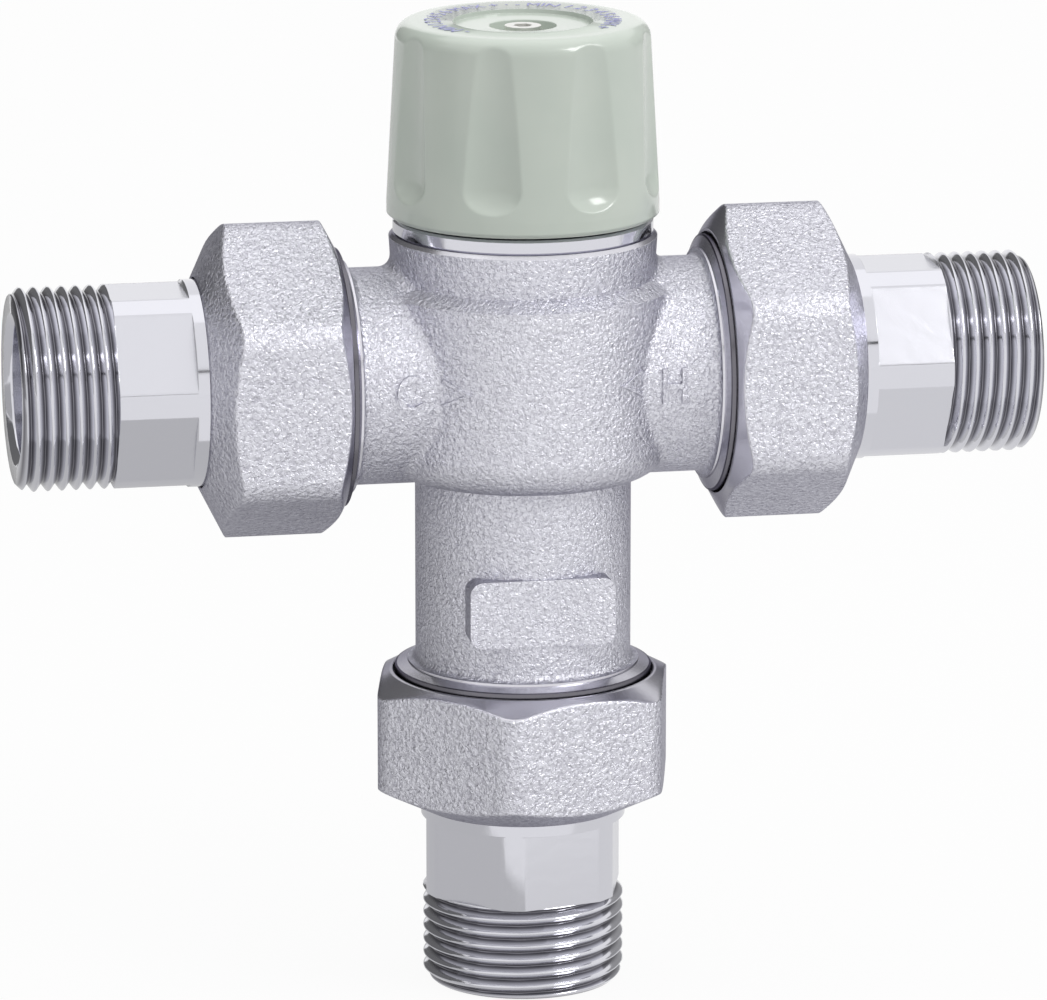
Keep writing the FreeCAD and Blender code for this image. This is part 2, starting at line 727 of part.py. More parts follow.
def make_bonnet():
    """The screwed-in headwork: bright flange, cold seat, hexagonal guide and spindle bore."""
    body = new_body("bonnet")
    place(body, z=axis_height)
    nose_top = body_top - S.head_thread_depth + S.slip
    groove = S.head_o_ring_section
    groove_low = S.head_o_ring_rise - groove / 2 - S.slip
    groove_high = S.head_o_ring_rise + groove / 2 + S.slip
    nose = S.chamber_radius - S.slip
    groove_root = nose - groove
    thread = S.head_thread_radius - S.slip
    turn(
        body,
        [
            (0, S.cold_seat_rise),
            (nose, S.cold_seat_rise),
            (nose, groove_low),
            (groove_root, groove_low),
            (groove_root, groove_high),
            (nose, groove_high),
            (nose, nose_top),
            (thread, nose_top),
            (thread, body_top),
            (bonnet_flange, body_top),
            (bonnet_flange, flange_top),
            (S.bonnet_neck_radius, flange_top),
            (S.bonnet_neck_radius, body_top + S.bonnet_neck_top),
            (S.bonnet_tip_radius, body_top + S.bonnet_neck_top),
            (S.bonnet_tip_radius, body_top + S.bonnet_tip_top),
            (0, body_top + S.bonnet_tip_top),
        ],
    )
    dress(
        body,
        "Chamfer",
        S.bonnet_flange_chamfer,
        lambda edge: is_circle(edge, bonnet_flange),
    )
    sketch = new_sketch(body, XY, S.cold_seat_rise)
    add_polygon(sketch, hexagon(S.guide_across_flats))
    extrude(body, sketch, S.guide_top - S.cold_seat_rise, cut=True, reversed_side=True)
    bore = S.spindle_radius + S.slip
    ring(body, 0, bore, S.guide_top - S.slip, body_top + S.bonnet_tip_top, cut=True)
    return body


def make_head_o_ring():
    """The O-ring between bonnet and body."""
    outer = S.chamber_radius - S.slip / 2
    inner = S.chamber_radius - S.slip / 2 - S.head_o_ring_section
    middle = S.head_o_ring_rise
    body = squeezed_ring("bonnet_o_ring", inner, outer, middle, S.head_o_ring_section)
    place(body, z=axis_height)


def make_spindle():
    """The spindle: shoulder, shaft with O-ring groove, two flats and a lifting thread."""
    body = new_body("spindle")
    place(body, angle=KNOB_TURN, z=axis_height)
    shoulder_top = spindle_shoulder + S.spindle_flange_thickness
    ring_middle = body_top + S.bonnet_neck_top
    groove_low = ring_middle - S.spindle_o_ring_section / 2 - S.slip
    groove_high = ring_middle + S.spindle_o_ring_section / 2 + S.slip
    groove_root = S.spindle_radius - S.spindle_o_ring_section + S.slip
    turn(
        body,
        [
            (S.lift_thread_radius, spindle_shoulder),
            (S.spindle_flange_radius, spindle_shoulder),
            (S.spindle_flange_radius, shoulder_top),
            (S.spindle_radius, shoulder_top),
            (S.spindle_radius, groove_low),
            (groove_root, groove_low),
            (groove_root, groove_high),
            (S.spindle_radius, groove_high),
            (S.spindle_radius, spindle_top),
            (0, spindle_top),
            (0, spindle_shoulder + S.lift_thread_length),
            (S.lift_thread_radius, spindle_shoulder + S.lift_thread_length),
        ],
    )
    ring(
        body,
        0,
        S.screw_shank_radius + S.slip,
        spindle_top - S.spindle_flats_length,
        spindle_top,
        cut=True,
    )
    for side in (1, -1):
        sketch = new_sketch(body, XZ)
        inner = side * S.spindle_flats / 2
        outer = side * (S.spindle_radius + S.gap)
        low = spindle_top - S.spindle_flats_length
        points = [(inner, low), (outer, low), (outer, spindle_top), (inner, spindle_top)]
        add_polygon(sketch, points)
        extrude(body, sketch, 4 * S.spindle_radius, cut=True, midplane=True)
    return body


def make_spindle_o_ring():
    """The O-ring that turns with the spindle in the bonnet's bore."""
    inner = S.spindle_radius - S.spindle_o_ring_section + S.slip * 1.5
    middle = body_top + S.bonnet_neck_top
    outer = S.spindle_radius + S.slip / 2
    body = squeezed_ring("spindle_o_ring", inner, outer, middle, S.spindle_o_ring_section)
    place(body, z=axis_height)


# ---- knob --------------------------------------------------------------------------------


def make_knob():
    """The moulded knob: tapered skirt, eight flutes, recessed top, hub and four ribs.

    Its own origin is on the valve axis at the knob's base.
    """
    body = new_body("knob")
    place(body, angle=KNOB_TURN, z=axis_height + knob_base)
    top = S.knob_height
    turn(
        body,
        [
            (0, 0),
            (S.knob_base_radius, 0),
            (S.knob_base_radius, S.knob_band_height),
            (S.knob_crown_radius, top),
            (0, top),
        ],
    )
    dress(
        body,
        "Fillet",
        S.knob_crown_rounding,
        lambda edge: is_circle(edge, S.knob_crown_radius, top),
    )
    dress(
        body,
        "Chamfer",
        S.knob_base_chamfer,
        lambda edge: is_circle(edge, S.knob_base_radius, 0),
    )
    cut_flutes(body)
    cavity = S.knob_base_radius - S.knob_wall
    ceiling = top - S.knob_roof
    crown_cavity = S.knob_crown_radius - S.knob_wall
    hub_low = top - S.hub_drop
    turn(
        body,
        [
            (0, 0),
            (cavity, 0),
            (crown_cavity, ceiling),
            (S.hub_radius, ceiling),
            (S.hub_radius, hub_low),
            (0, hub_low),
        ],
        cut=True,
    )
    cut_dial(body)
    cut_hub(body)
    add_ribs(body)
    return body


def cut_flutes(body):
    """Round hollows that are deepest near the base and run out below the crown."""
    sketch = new_sketch(body, XZ)
    top = S.knob_height
    span = top - S.knob_band_height
    taper = (S.knob_base_radius - S.knob_crown_radius) / span
    low = S.flute_rise
    high = S.flute_vanish
    floor_low = S.knob_base_radius - S.flute_depth - taper * (low - S.knob_band_height)
    floor_high = S.knob_base_radius - taper * (high - S.knob_band_height)
    lean = (floor_high - floor_low) / (high - low)
    reach = S.flute_cutter_radius
    end = S.flute_end_rounding
    above = top + S.flute_end_rounding
    floor_above = floor_low + lean * (above - low)
    count = 6
    points = [(floor_low + reach, low)]
    for k in range(count + 1):
        angle = math.pi / 2 * k / count
        inset = end * (1 - math.sin(angle))
        rise = end * (1 - math.cos(angle))
        points.append((floor_low + inset + lean * rise, low + rise))
    points.append((floor_above, above))
    points.append((floor_above + reach, above))
    add_polygon(sketch, points)
    axis_edge = sketch.GeometryCount - 1
    made = feature(body, "Groove", sketch)
    made.ReferenceAxis = (sketch, ["Edge%d" % (axis_edge + 1)])
    made.Angle = FULL_TURN
    changed(body, made, False)
    polar(body, made, S.flute_count)


def cut_dial(body):
    """The round recess of the top and the pocket of the knob's screw."""
    top = S.knob_height
    floor = top - S.dial_recess_depth
    pocket = floor - S.screw_pocket_depth
    turn(
        body,
        [
            (0, pocket),
            (S.screw_pocket_radius, pocket),
            (S.screw_pocket_radius, floor),
            (S.dial_recess_radius, floor),
            (S.dial_recess_radius, top),
            (0, top),
        ],
        cut=True,
    )


def cut_hub(body):
    """The hub's bore with its two flats, and the hole of the screw."""
    low = S.knob_height - S.hub_drop
    spindle_end = spindle_top - knob_base + S.slip
    bore = S.spindle_radius + S.slip
    ring(body, 0, bore, low, spindle_end, cut=True)
    inner = S.spindle_flats / 2 + S.slip
    outer = bore + S.slip
    half = (bore.value**2 - inner.value**2) ** 0.5 / bore.value * outer
    for side in (1, -1):
        sketch = new_sketch(body, XY, low)
        near = side * inner
        far = side * outer
        add_polygon(sketch, [(near, -half), (far, -half), (far, half), (near, half)])
        extrude(body, sketch, spindle_end - low)
    ring(body, 0, S.screw_shank_radius + S.slip, low, S.knob_height, cut=True)


def rotated(points, degrees):
    """The same points turned about the origin."""
    c = math.cos(math.radians(degrees))
    s = math.sin(math.radians(degrees))
    return [(x * c - y * s, x * s + y * c) for x, y in points]


def add_ribs(body):
    """Four ribs under the roof that carry the hub."""
    top = S.knob_height - S.knob_roof + S.slip
    sketch = new_sketch(body, XZ)
    inner = S.hub_radius - S.slip
    outer = S.knob_crown_radius - S.knob_wall + S.slip
    low = top - S.rib_depth
    add_polygon(sketch, [(inner, low), (outer, low), (outer, top), (inner, top)])
    made = extrude(body, sketch, S.rib_thickness, midplane=True)
    polar(body, made, 4)


def make_knob_screw():
    """The screw with a hexagonal socket that holds the knob on the spindle."""
    body = new_body("knob_screw")
    pocket = knob_top - S.dial_recess_depth - S.screw_pocket_depth
    place(body, z=axis_height + pocket)
    head = S.screw_pocket_depth
    ring(body, 0, S.screw_head_radius, 0, head)
    ring(body, 0, S.screw_shank_radius, -S.screw_shank_length, S.slip / 10)
    sketch = new_sketch(body, XY, head)
    add_polygon(sketch, hexagon(S.screw_socket_radius * math.sqrt(3.0)))
    extrude(body, sketch, S.screw_socket_depth, cut=True)
    return body


# ---- carrier, pusher and thermostat ------------------------------------------------------


def make_carrier():
    """The hexagonal carrier that the spindle's thread lifts: a cup with a threaded stem."""
    body = new_body("carrier")
    place(body, z=axis_height)
    flats = S.guide_across_flats - 2 * S.gap
    sketch = new_sketch(body, XY, S.carrier_base)
    add_polygon(sketch, hexagon(flats))
    extrude(body, sketch, carrier_top - S.carrier_base)
    stem = S.lift_thread_radius - S.slip
    stem_top = spindle_shoulder + S.lift_thread_length - half_lift - S.gap
    ring(body, 0, stem, carrier_top - S.slip, stem_top)
    groove = S.carrier_cup_radius + S.circlip_groove_depth
    turn(
        body,
        [
            (0, S.carrier_base),
            (S.carrier_cup_radius, S.carrier_base),
            (S.carrier_cup_radius, circlip_low),
            (groove, circlip_low),
            (groove, pusher_low),
            (S.carrier_cup_radius, pusher_low),
            (S.carrier_cup_radius, cup_roof),
            (0, cup_roof),
        ],
        cut=True,
    )
    return body


def make_pusher():
    """The disc that presses on the pin, with a boss for the overtravel spring."""
    body = new_body("pusher")
    place(body, z=axis_height)
    turn(
        body,
        [
            (0, pusher_low),
            (S.carrier_cup_radius - S.gap, pusher_low),
            (S.carrier_cup_radius - S.gap, pusher_top),
            (S.pusher_boss_radius, pusher_top),
            (S.pusher_boss_radius, pusher_top + S.pusher_boss_height),
            (0, pusher_top + S.pusher_boss_height),
        ],
    )
    return body


def make_pin():
    """The pin that stands on the wax element's diaphragm."""
    body = new_body("element_pin")
    place(body, z=axis_height)
    ring(body, 0, S.pin_radius, S.pin_end_rise, pusher_low)
    return body


def make_element():
    """The wax element: neck, flange and bulb, with a blind hole for the pin."""
    body = new_body("wax_element")
    place(body, z=axis_height)
    flange_top_z = web_top + S.element_flange_thickness
    bulb_low = web_top - S.element_bulb_length
    hole = S.pin_radius + S.slip
    turn(
        body,
        [
            (0, bulb_low),
            (S.element_bulb_radius, bulb_low),
            (S.element_bulb_radius, web_top),
            (S.element_flange_radius, web_top),
            (S.element_flange_radius, flange_top_z),
            (S.element_neck_radius, flange_top_z),
            (S.element_neck_radius, S.element_neck_top),
            (hole, S.element_neck_top),
            (hole, S.pin_end_rise - S.overtravel),
            (0, S.pin_end_rise - S.overtravel),
        ],
    )
    dress(
        body,
        "Fillet",
        S.element_bulb_radius / 3,
        lambda edge: is_circle(edge, S.element_bulb_radius, bulb_low),
    )
    return body


def make_shuttle():
    """The regulating sleeve with its spoked web and O-ring groove."""
    body = new_body("shuttle")
    place(body, z=axis_height)
    groove = S.shuttle_o_ring_section
    groove_low = S.shuttle_o_ring_rise - groove / 2 - S.slip
    groove_high = S.shuttle_o_ring_rise + groove / 2 + S.slip
    outer = S.shuttle_radius
    root = outer - groove
    turn(
        body,
        [
            (shuttle_bore, shuttle_bottom),
            (outer, shuttle_bottom),
            (outer, groove_low),
            (root, groove_low),
            (root, groove_high),
            (outer, groove_high),
            (outer, shuttle_top),
            (shuttle_bore, shuttle_top),
            (shuttle_bore, web_top),
            (S.element_bulb_radius + S.slip, web_top),
            (S.element_bulb_radius + S.slip, web_low),
            (shuttle_bore, web_low),
        ],
    )
    sketch = new_sketch(body, XY, web_top)
    add_circle(sketch, S.shuttle_window_radius, S.shuttle_window_circle, 0)
    made = extrude(body, sketch, S.shuttle_web_thickness, cut=True)
    polar(body, made, S.shuttle_window_count)
    return body


def make_shuttle_o_ring():
    """The O-ring that parts cold from hot round the shuttle."""
    section = S.shuttle_o_ring_section
    inner = S.shuttle_radius - section
    middle = S.shuttle_o_ring_rise
    body = squeezed_ring("shuttle_o_ring", inner, S.web_radius - S.slip / 2, middle, section)
    place(body, z=axis_height)


def make_spring_guide():
    """The perforated guide under the return spring, with a bore for the bulb."""
    body = new_body("spring_guide")
    place(body, z=axis_height)
    bore = S.element_bulb_radius + S.gap
    ring(body, bore, S.mixing_radius - S.slip, guide_low_z, guide_top_z)
    sketch = new_sketch(body, XY, guide_top_z)
    add_circle(sketch, S.guide_window_radius, S.guide_window_circle, 0)
    made = extrude(body, sketch, S.spring_guide_thickness, cut=True)
    polar(body, made, S.guide_window_count)
    return body


def make_springs_and_clips():
    """Overtravel spring, return spring and the two retaining rings."""
    body = coil(
        "overtravel_spring",
        S.overtravel_wire,
        S.overtravel_coil_radius,
        pusher_top,
        cup_roof,
        S.overtravel_turns,
    )
    place(body, z=axis_height)
    body = coil(
        "return_spring",
        S.return_wire,
        S.return_coil_radius,
        guide_top_z,
        web_low,
        S.return_turns,
    )
    place(body, z=axis_height)
    cup_groove = S.carrier_cup_radius + S.circlip_groove_depth - S.slip
    inner = S.carrier_cup_radius - 2 * S.circlip_groove_depth
    place(circlip("carrier_circlip", inner, cup_groove, circlip_low), z=axis_height)
    tube_groove = S.mixing_radius + S.circlip_groove_depth - S.slip
    inner = S.mixing_radius - 2 * S.circlip_groove_depth
    low = guide_low_z - S.circlip_thickness
    place(circlip("guide_circlip", inner, tube_groove, low), z=axis_height)


# ---- one port ----------------------------------------------------------------------------
# Each port is drawn on its own axis: its origin is the centre of the port's end face and its
# +Z leads out of the valve.


def place_port(body, port):
    """Stand a port's piece on the body's hot, cold or outlet port."""
    if port == "outlet":
        turned = FreeCAD.Vector(1, 0, 0)
        place(body, turned, 180.0, z=axis_height - S.outlet_face_distance)
        return
    side = 1 if port == "hot" else -1
    out = side * inlet_face
    place(body, FreeCAD.Vector(0, 1, 0), side * 90.0, x=out, z=axis_height)


def make_gasket(port):
    """The flat gasket between port and tail."""
    body = new_body(port + "_gasket")
    ring(body, S.gasket_bore, S.gasket_radius, 0, S.gasket_thickness)
    place_port(body, port)


def make_tail(port):
    """A tail: flange, plain part with six wrench flats, and the pipe thread's cylinder."""
    body = new_body(port + "_tailpiece")
    base = S.gasket_thickness
    flange = base + S.tail_flange_thickness
    end = base + S.tail_length
    thread_low = end - S.pipe_thread_length
    turn(
        body,
        [
            (S.tail_bore, base),
            (S.tail_flange_radius, base),
            (S.tail_flange_radius, flange),
            (S.tail_radius, flange),
            (S.tail_radius, thread_low),
            (S.pipe_thread_radius, thread_low),
            (S.pipe_thread_radius, end),
            (S.tail_bore, end),
        ],
    )
    dress(
        body,
        "Chamfer",
        S.pipe_thread_chamfer,
        lambda edge: is_circle(edge, S.pipe_thread_radius, end),
    )
    dress(
        body,
        "Chamfer",
        S.tail_bore_chamfer,
        lambda edge: is_circle(edge, S.tail_bore, end),
    )
    sketch = new_sketch(body, XY, thread_low)
    outside = S.tail_radius + S.gap
    half = S.tail_radius / 2
    flat = S.tail_flat_apothem
    points = [(flat, -half), (outside, -half), (outside, half), (flat, half)]
    add_polygon(sketch, rotated(points, TAIL_TURN[port]))
    made = extrude(body, sketch, S.tail_flat_length, cut=True)
    polar(body, made, HEXAGON)
    place_port(body, port)


def make_nut(port):
    """A union nut: rounded hexagon, cones at both ends, lip and thread bore."""
    body = new_body(port + "_union_nut")
    lip_low = S.gasket_thickness + S.tail_flange_thickness + S.slip
    top = lip_low + S.nut_lip_thickness
    low = lip_low - S.nut_thread_length
    sketch = new_sketch(body, XY, low)
    add_polygon(sketch, hexagon(S.nut_across_flats, NUT_TURN[port]))
    extrude(body, sketch, top - low)
    dress(
        body,
        "Fillet",
        S.nut_corner_radius,
        lambda edge: isinstance(edge.Curve, Part.Line) and edge.BoundBox.ZLength > 1,
    )
    reach = S.nut_across_flats / math.sqrt(3.0) + S.gap
    hole = S.tail_radius + S.gap
    crown_low = top - S.nut_crown_chamfer
    turn(body, [(hole, top), (reach, crown_low), (reach, top + S.gap), (hole, top + S.gap)], cut=True)
    rim_high = low + S.nut_rim_chamfer
    rim = S.nut_rim_radius
    turn(body, [(rim, low), (reach, rim_high), (reach, low - S.gap), (rim, low - S.gap)], cut=True)
    thread = S.port_thread_radius + S.gap
    turn(
        body,
        [
            (0, low - S.gap),
            (S.nut_mouth_radius, low - S.gap),
            (S.nut_mouth_radius, low + S.nut_mouth_depth),
            (thread, low + S.nut_mouth_depth),
            (thread, lip_low),
            (hole, lip_low),
            (hole, top + S.gap),
            (0, top + S.gap),
        ],
        cut=True,
    )
    place_port(body, port)


def make_check_cage(port):
    """The cage of a check valve: flange, sleeve, seat and a spoked guide."""
    body = new_body(port + "_check_cage")
    sleeve = S.cage_radius - S.cage_wall
    seat_low = -S.cage_seat_thickness
    low = -S.cage_length
    groove = S.check_o_ring_section
    groove_low = -S.check_o_ring_depth - groove / 2 - S.slip
    groove_high = -S.check_o_ring_depth + groove / 2 + S.slip
    root = S.cage_radius - groove
    turn(
        body,
        [
            (S.cage_seat_bore, 0),
            (S.cage_seat_bore, seat_low),
            (sleeve, seat_low - S.poppet_nose_height),
            (sleeve, low),
            (S.cage_radius, low),
            (S.cage_radius, groove_low),
            (root, groove_low),
            (root, groove_high),
            (S.cage_radius, groove_high),
            (S.cage_radius, -S.cage_flange_thickness),
            (S.cage_flange_radius, -S.cage_flange_thickness),
            (S.cage_flange_radius, 0),
        ],
    )
    sketch = new_sketch(body, XY, low)
    half = S.cage_spoke_width / 2
    edge = sleeve + S.slip
    add_polygon(sketch, [(-edge, -half), (edge, -half), (edge, half), (-edge, half)])
    extrude(body, sketch, S.cage_spoke_thickness)
    sketch = new_sketch(body, XY, low)
    add_polygon(sketch, [(-half, -edge), (half, -edge), (half, edge), (-half, edge)])
    extrude(body, sketch, S.cage_spoke_thickness)
    ring(body, 0, S.cage_hub_radius, low, low + S.cage_spoke_thickness)
    bore = S.poppet_stem_radius + S.slip
    ring(body, 0, bore, low - S.slip, low + S.cage_spoke_thickness + S.slip, cut=True)
    place_port(body, port)


def make_poppet(port):
    """The poppet of a check valve, closed on its seat, with its stem in the guide."""
    body = new_body(port + "_check_poppet")
    seat = -S.cage_seat_thickness - S.poppet_nose_height - S.slip
    rim_low = seat - S.poppet_head_thickness
    nose = S.cage_seat_bore - S.gap
    stem_end = -S.cage_length
    turn(
        body,
        [
            (0, stem_end),
            (S.poppet_stem_radius, stem_end),
            (S.poppet_stem_radius, rim_low),
            (S.poppet_head_radius, rim_low),
            (S.poppet_head_radius, seat),
            (nose, seat + S.poppet_nose_height),
            (nose / 2, seat + S.poppet_nose_height * 1.4),
            (0, seat + S.poppet_nose_height * 1.5),
        ],
    )
    place_port(body, port)


def make_check_spring(port):
    """The spring that closes a check valve."""
    low = -S.cage_length + S.cage_spoke_thickness
    rim = -S.cage_seat_thickness - S.poppet_nose_height - S.slip - S.poppet_head_thickness
    wire = S.check_wire
    body = coil(port + "_check_spring", wire, S.check_coil_radius, low, rim, S.check_turns)
    place_port(body, port)


def make_check_o_ring(port):
    """The O-ring between a cage and the bore of its arm."""
    section = S.check_o_ring_section
    inner = S.cage_radius - section
    outer = S.inlet_bore_radius - S.slip / 2
    body = squeezed_ring(port + "_check_o_ring", inner, outer, -S.check_o_ring_depth, section)
    place_port(body, port)


def make_strainer(port):
    """The slotted strainer basket that stands in an inlet tail."""
    body = new_body(port + "_strainer")
    base = S.gasket_thickness
    wall = S.strainer_wall
    outer = S.strainer_radius
    end = base + S.strainer_length
    turn(
        body,
        [
            (outer - wall, 0),
            (S.gasket_bore - S.slip, 0),
            (S.gasket_bore - S.slip, base - S.slip),
            (outer, base - S.slip),
            (outer, end),
            (0, end),
            (0, end - wall),
            (outer - wall, end - wall),
        ],
    )
    sketch = new_sketch(body, XZ)
    half = S.strainer_slot_width / 2
    low = base + wall
    high = end - 2 * wall
    add_polygon(sketch, [(-half, low), (half, low), (half, high), (-half, high)])
    made = extrude(body, sketch, outer + S.gap, cut=True)
    polar(body, made, S.strainer_slot_count)
    place_port(body, port)


def make_port(port):
    """Every piece of one port."""
    make_gasket(port)
    make_tail(port)
    make_nut(port)
    if port == "outlet":
        return
    make_check_cage(port)
    make_poppet(port)
    make_check_spring(port)
    make_check_o_ring(port)
    make_strainer(port)


def check_and_write():
    """Stop on any failed object or broken shape, then write one STEP file per sub-part."""
    doc.recompute()
    for item in doc.Objects:
        if "Invalid" in item.State or "Error" in item.State:
            raise RuntimeError("failed: " + item.Name)
    for item in subparts:
        if item.Shape.isNull() or not item.Shape.isValid() or not item.Shape.Solids:
            raise RuntimeError("no sound solid: " + item.Label)
    os.makedirs("parts", exist_ok=True)
    for item in subparts:
        item.Shape.exportStep("parts/%s.step" % item.Label)
        print(item.Label, len(item.Shape.Solids), round(item.Shape.Volume, 1))


make_body()
make_bonnet()
make_head_o_ring()
make_spindle()
make_spindle_o_ring()
make_knob()
make_knob_screw()
make_carrier()
make_pusher()
make_pin()
make_element()
make_shuttle()
make_shuttle_o_ring()
make_spring_guide()
make_springs_and_clips()
for name in ("hot", "cold", "outlet"):
    make_port(name)
check_and_write()
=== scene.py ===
"""A thermostatic mixing valve: textured chrome-plated casting, three unions and a fluted knob.

Everything is in metres in the part's own frame: the origin is the centre of the outlet's end
face, +Z runs up to the knob, +X to the hot inlet and -Y to the front.
"""

import logging
import math
from dataclasses import dataclass
from enum import Enum
from typing import Optional, Sequence

import bmesh
import bpy
import numpy as np
from mathutils.bvhtree import BVHTree
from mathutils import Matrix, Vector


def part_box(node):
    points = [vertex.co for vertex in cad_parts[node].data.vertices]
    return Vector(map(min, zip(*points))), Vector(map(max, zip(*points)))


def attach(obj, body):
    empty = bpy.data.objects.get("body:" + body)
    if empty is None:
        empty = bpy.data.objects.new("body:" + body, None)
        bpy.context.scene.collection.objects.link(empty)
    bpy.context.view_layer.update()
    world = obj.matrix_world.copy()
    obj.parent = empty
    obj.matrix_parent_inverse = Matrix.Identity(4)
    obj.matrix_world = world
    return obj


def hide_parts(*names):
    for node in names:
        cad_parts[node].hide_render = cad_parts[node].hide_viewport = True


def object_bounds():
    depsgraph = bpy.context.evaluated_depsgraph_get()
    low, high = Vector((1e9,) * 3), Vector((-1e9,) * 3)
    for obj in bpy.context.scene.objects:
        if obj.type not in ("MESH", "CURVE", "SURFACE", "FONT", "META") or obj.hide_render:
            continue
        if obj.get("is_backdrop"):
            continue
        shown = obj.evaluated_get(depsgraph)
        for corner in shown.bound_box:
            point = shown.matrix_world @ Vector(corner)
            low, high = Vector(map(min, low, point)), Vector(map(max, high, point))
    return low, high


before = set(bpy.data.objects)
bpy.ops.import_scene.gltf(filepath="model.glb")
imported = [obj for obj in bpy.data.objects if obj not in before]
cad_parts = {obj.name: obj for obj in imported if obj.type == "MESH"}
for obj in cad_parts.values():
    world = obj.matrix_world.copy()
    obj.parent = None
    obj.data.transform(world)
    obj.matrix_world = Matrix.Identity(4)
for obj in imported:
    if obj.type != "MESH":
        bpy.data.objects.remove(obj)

LOG = logging.getLogger("valve")
MM = 0.001  # a millimetre in metres
HEX = 6  # sides of a nut or of a tail's flats
CAPITAL = 0.7  # height of a capital letter in text of size 1
FAR = 1.0  # a radius beyond every piece, in metres
FULL_TURN = 2.0 * math.pi
WHITE = (1.0, 1.0, 1.0, 1.0)
Array = np.ndarray
Faces = list[tuple[int, ...]]


# ---- meshes from grids -------------------------------------------------------------------


def put_in_scene(name: str, data: bpy.types.ID) -> bpy.types.Object:
    """Put a mesh, a lamp or a camera into the scene.

    Args:
        name: the object's name.
        data: what the object holds.

    Returns:
        The new object, at the origin.
    """
    made = bpy.data.objects.new(name, data)
    bpy.context.scene.collection.objects.link(made)
    return made


def grid_mesh(name: str, points: Array) -> bpy.types.Object:
    """Put a grid of points that closes both ways into a new mesh object.

    Args:
        name: the piece's name.
        points: an array of rows x columns x 3; rows and columns both run once round.

    Returns:
        The new object, smooth-shaded, at the origin.
    """
    rows, columns = points.shape[:2]
    i = np.arange(rows)[:, None]
    j = np.arange(columns)[None, :]
    following = (i + 1) % rows
    beside = (j + 1) % columns
    quads = np.stack(
        [
            i * columns + j,
            i * columns + beside,
            following * columns + beside,
            following * columns + j,
        ],
        axis=-1,
    )
    mesh = bpy.data.meshes.new(name)
    mesh.from_pydata(points.reshape(-1, 3).tolist(), [], quads.reshape(-1, 4).tolist())
    mesh.polygons.foreach_set("use_smooth", np.ones(len(mesh.polygons), dtype=bool))
    mesh.update()
    return put_in_scene(name, mesh)


def point_outwards(piece: bpy.types.Object) -> None:
    """Turn every face of a closed piece inside out when its signed volume is negative.

    The volume is a sixth of the sum, over the triangles, of corner 1 . (corner 2 x corner 3).

    Args:
        piece: the piece, with a closed mesh.
    """
    mesh = piece.data
    mesh.calc_loop_triangles()
    count = len(mesh.loop_triangles)
    corners = np.empty(count * 3, dtype=np.int64)
    mesh.loop_triangles.foreach_get("vertices", corners)
    places = np.empty(len(mesh.vertices) * 3)
    mesh.vertices.foreach_get("co", places)
    triangles = places.reshape(-1, 3)[corners.reshape(-1, 3)]
    crossed = np.cross(triangles[:, 1], triangles[:, 2])
    volume = np.einsum("ij,ij->", triangles[:, 0], crossed)
    if volume < 0:
        mesh.flip_normals()


def add_values(piece: bpy.types.Object, name: str, values: Array) -> None:
    """Keep one number per vertex on a piece, for its material to read.

    Args:
        piece: the piece.
        name: the attribute's name.
        values: as many numbers as the piece has vertices, in their order.
    """
    layer = piece.data.attributes.new(name, "FLOAT", "POINT")
    layer.data.foreach_set("value", values.ravel().astype(np.float32))


def soft_min(a: Array, b: Array, width: float) -> Array:
    """The smaller of two surfaces, with the edge between them rounded over a width."""
    mix = np.clip(0.5 + 0.5 * (b - a) / width, 0.0, 1.0)
    return b * (1 - mix) + a * mix - width * mix * (1 - mix)


def soft_step(x: Array, low: float, high: float) -> Array:
    """A smooth rise from 0 at low to 1 at high."""
    t = np.clip((x - low) / (high - low), 0.0, 1.0)
    return t * t * (3 - 2 * t)


def spread(stops: Sequence[float], counts: Sequence[int]) -> Array:
    """Places between successive stops, evenly divided, with each stop once.

    Args:
        stops: places in rising order.
        counts: the number of steps between each stop and the next.

    Returns:
        The places, from the first stop to the last.
    """
    runs = [
        np.linspace(low, high, count, endpoint=False)
        for low, high, count in zip(stops[:-1], stops[1:], counts)
    ]
    return np.concatenate(runs + [np.array([stops[-1]])])


def rounded_profile(points: Sequence[tuple[float, float, float]], steps: int = 4) -> Array:
    """A closed outline whose corners are rounded.

    Each corner is replaced by a quadratic curve between two points that lie its radius away
    along its two edges, with the corner as control point.

    Args:
        points: corners as (along, radius, rounding).
        steps: points on each rounded corner, less one.

    Returns:
        An array of points x 2.
    """
    corners = np.array([(a, r) for a, r, _ in points])
    rounding = np.array([k for _, _, k in points])
    before = np.roll(corners, 1, axis=0) - corners
    after = np.roll(corners, -1, axis=0) - corners
    before_length = np.linalg.norm(before, axis=1)
    after_length = np.linalg.norm(after, axis=1)
    reach = np.minimum(rounding, 0.48 * np.minimum(before_length, after_length))
    entry = corners + before * (reach / before_length)[:, None]
    leave = corners + after * (reach / after_length)[:, None]
    t = np.linspace(0.0, 1.0, steps + 1)[None, :, None]
    curve = (
        (1 - t) ** 2 * entry[:, None]
        + 2 * t * (1 - t) * corners[:, None]
        + t**2 * leave[:, None]
    )
    return curve.reshape(-1, 2)


def round_angles(columns: int) -> Array:
    """Angles of evenly spaced columns, once round, as one row."""
    return np.linspace(0.0, FULL_TURN, columns, endpoint=False)[None, :]


def from_nearest(turn: Array, count: int, first: float) -> Array:
    """Angles from the nearest of some evenly spaced directions.

    Args:
        turn: angles, in radians.
        count: how many directions there are in a full turn.
        first: one of the directions, in degrees.

    Returns:
        Signed angles, in radians.
    """
    sector = FULL_TURN / count
    turned = turn - math.radians(first)
    return turned - sector * np.round(turned / sector)


# ---- frames ------------------------------------------------------------------------------


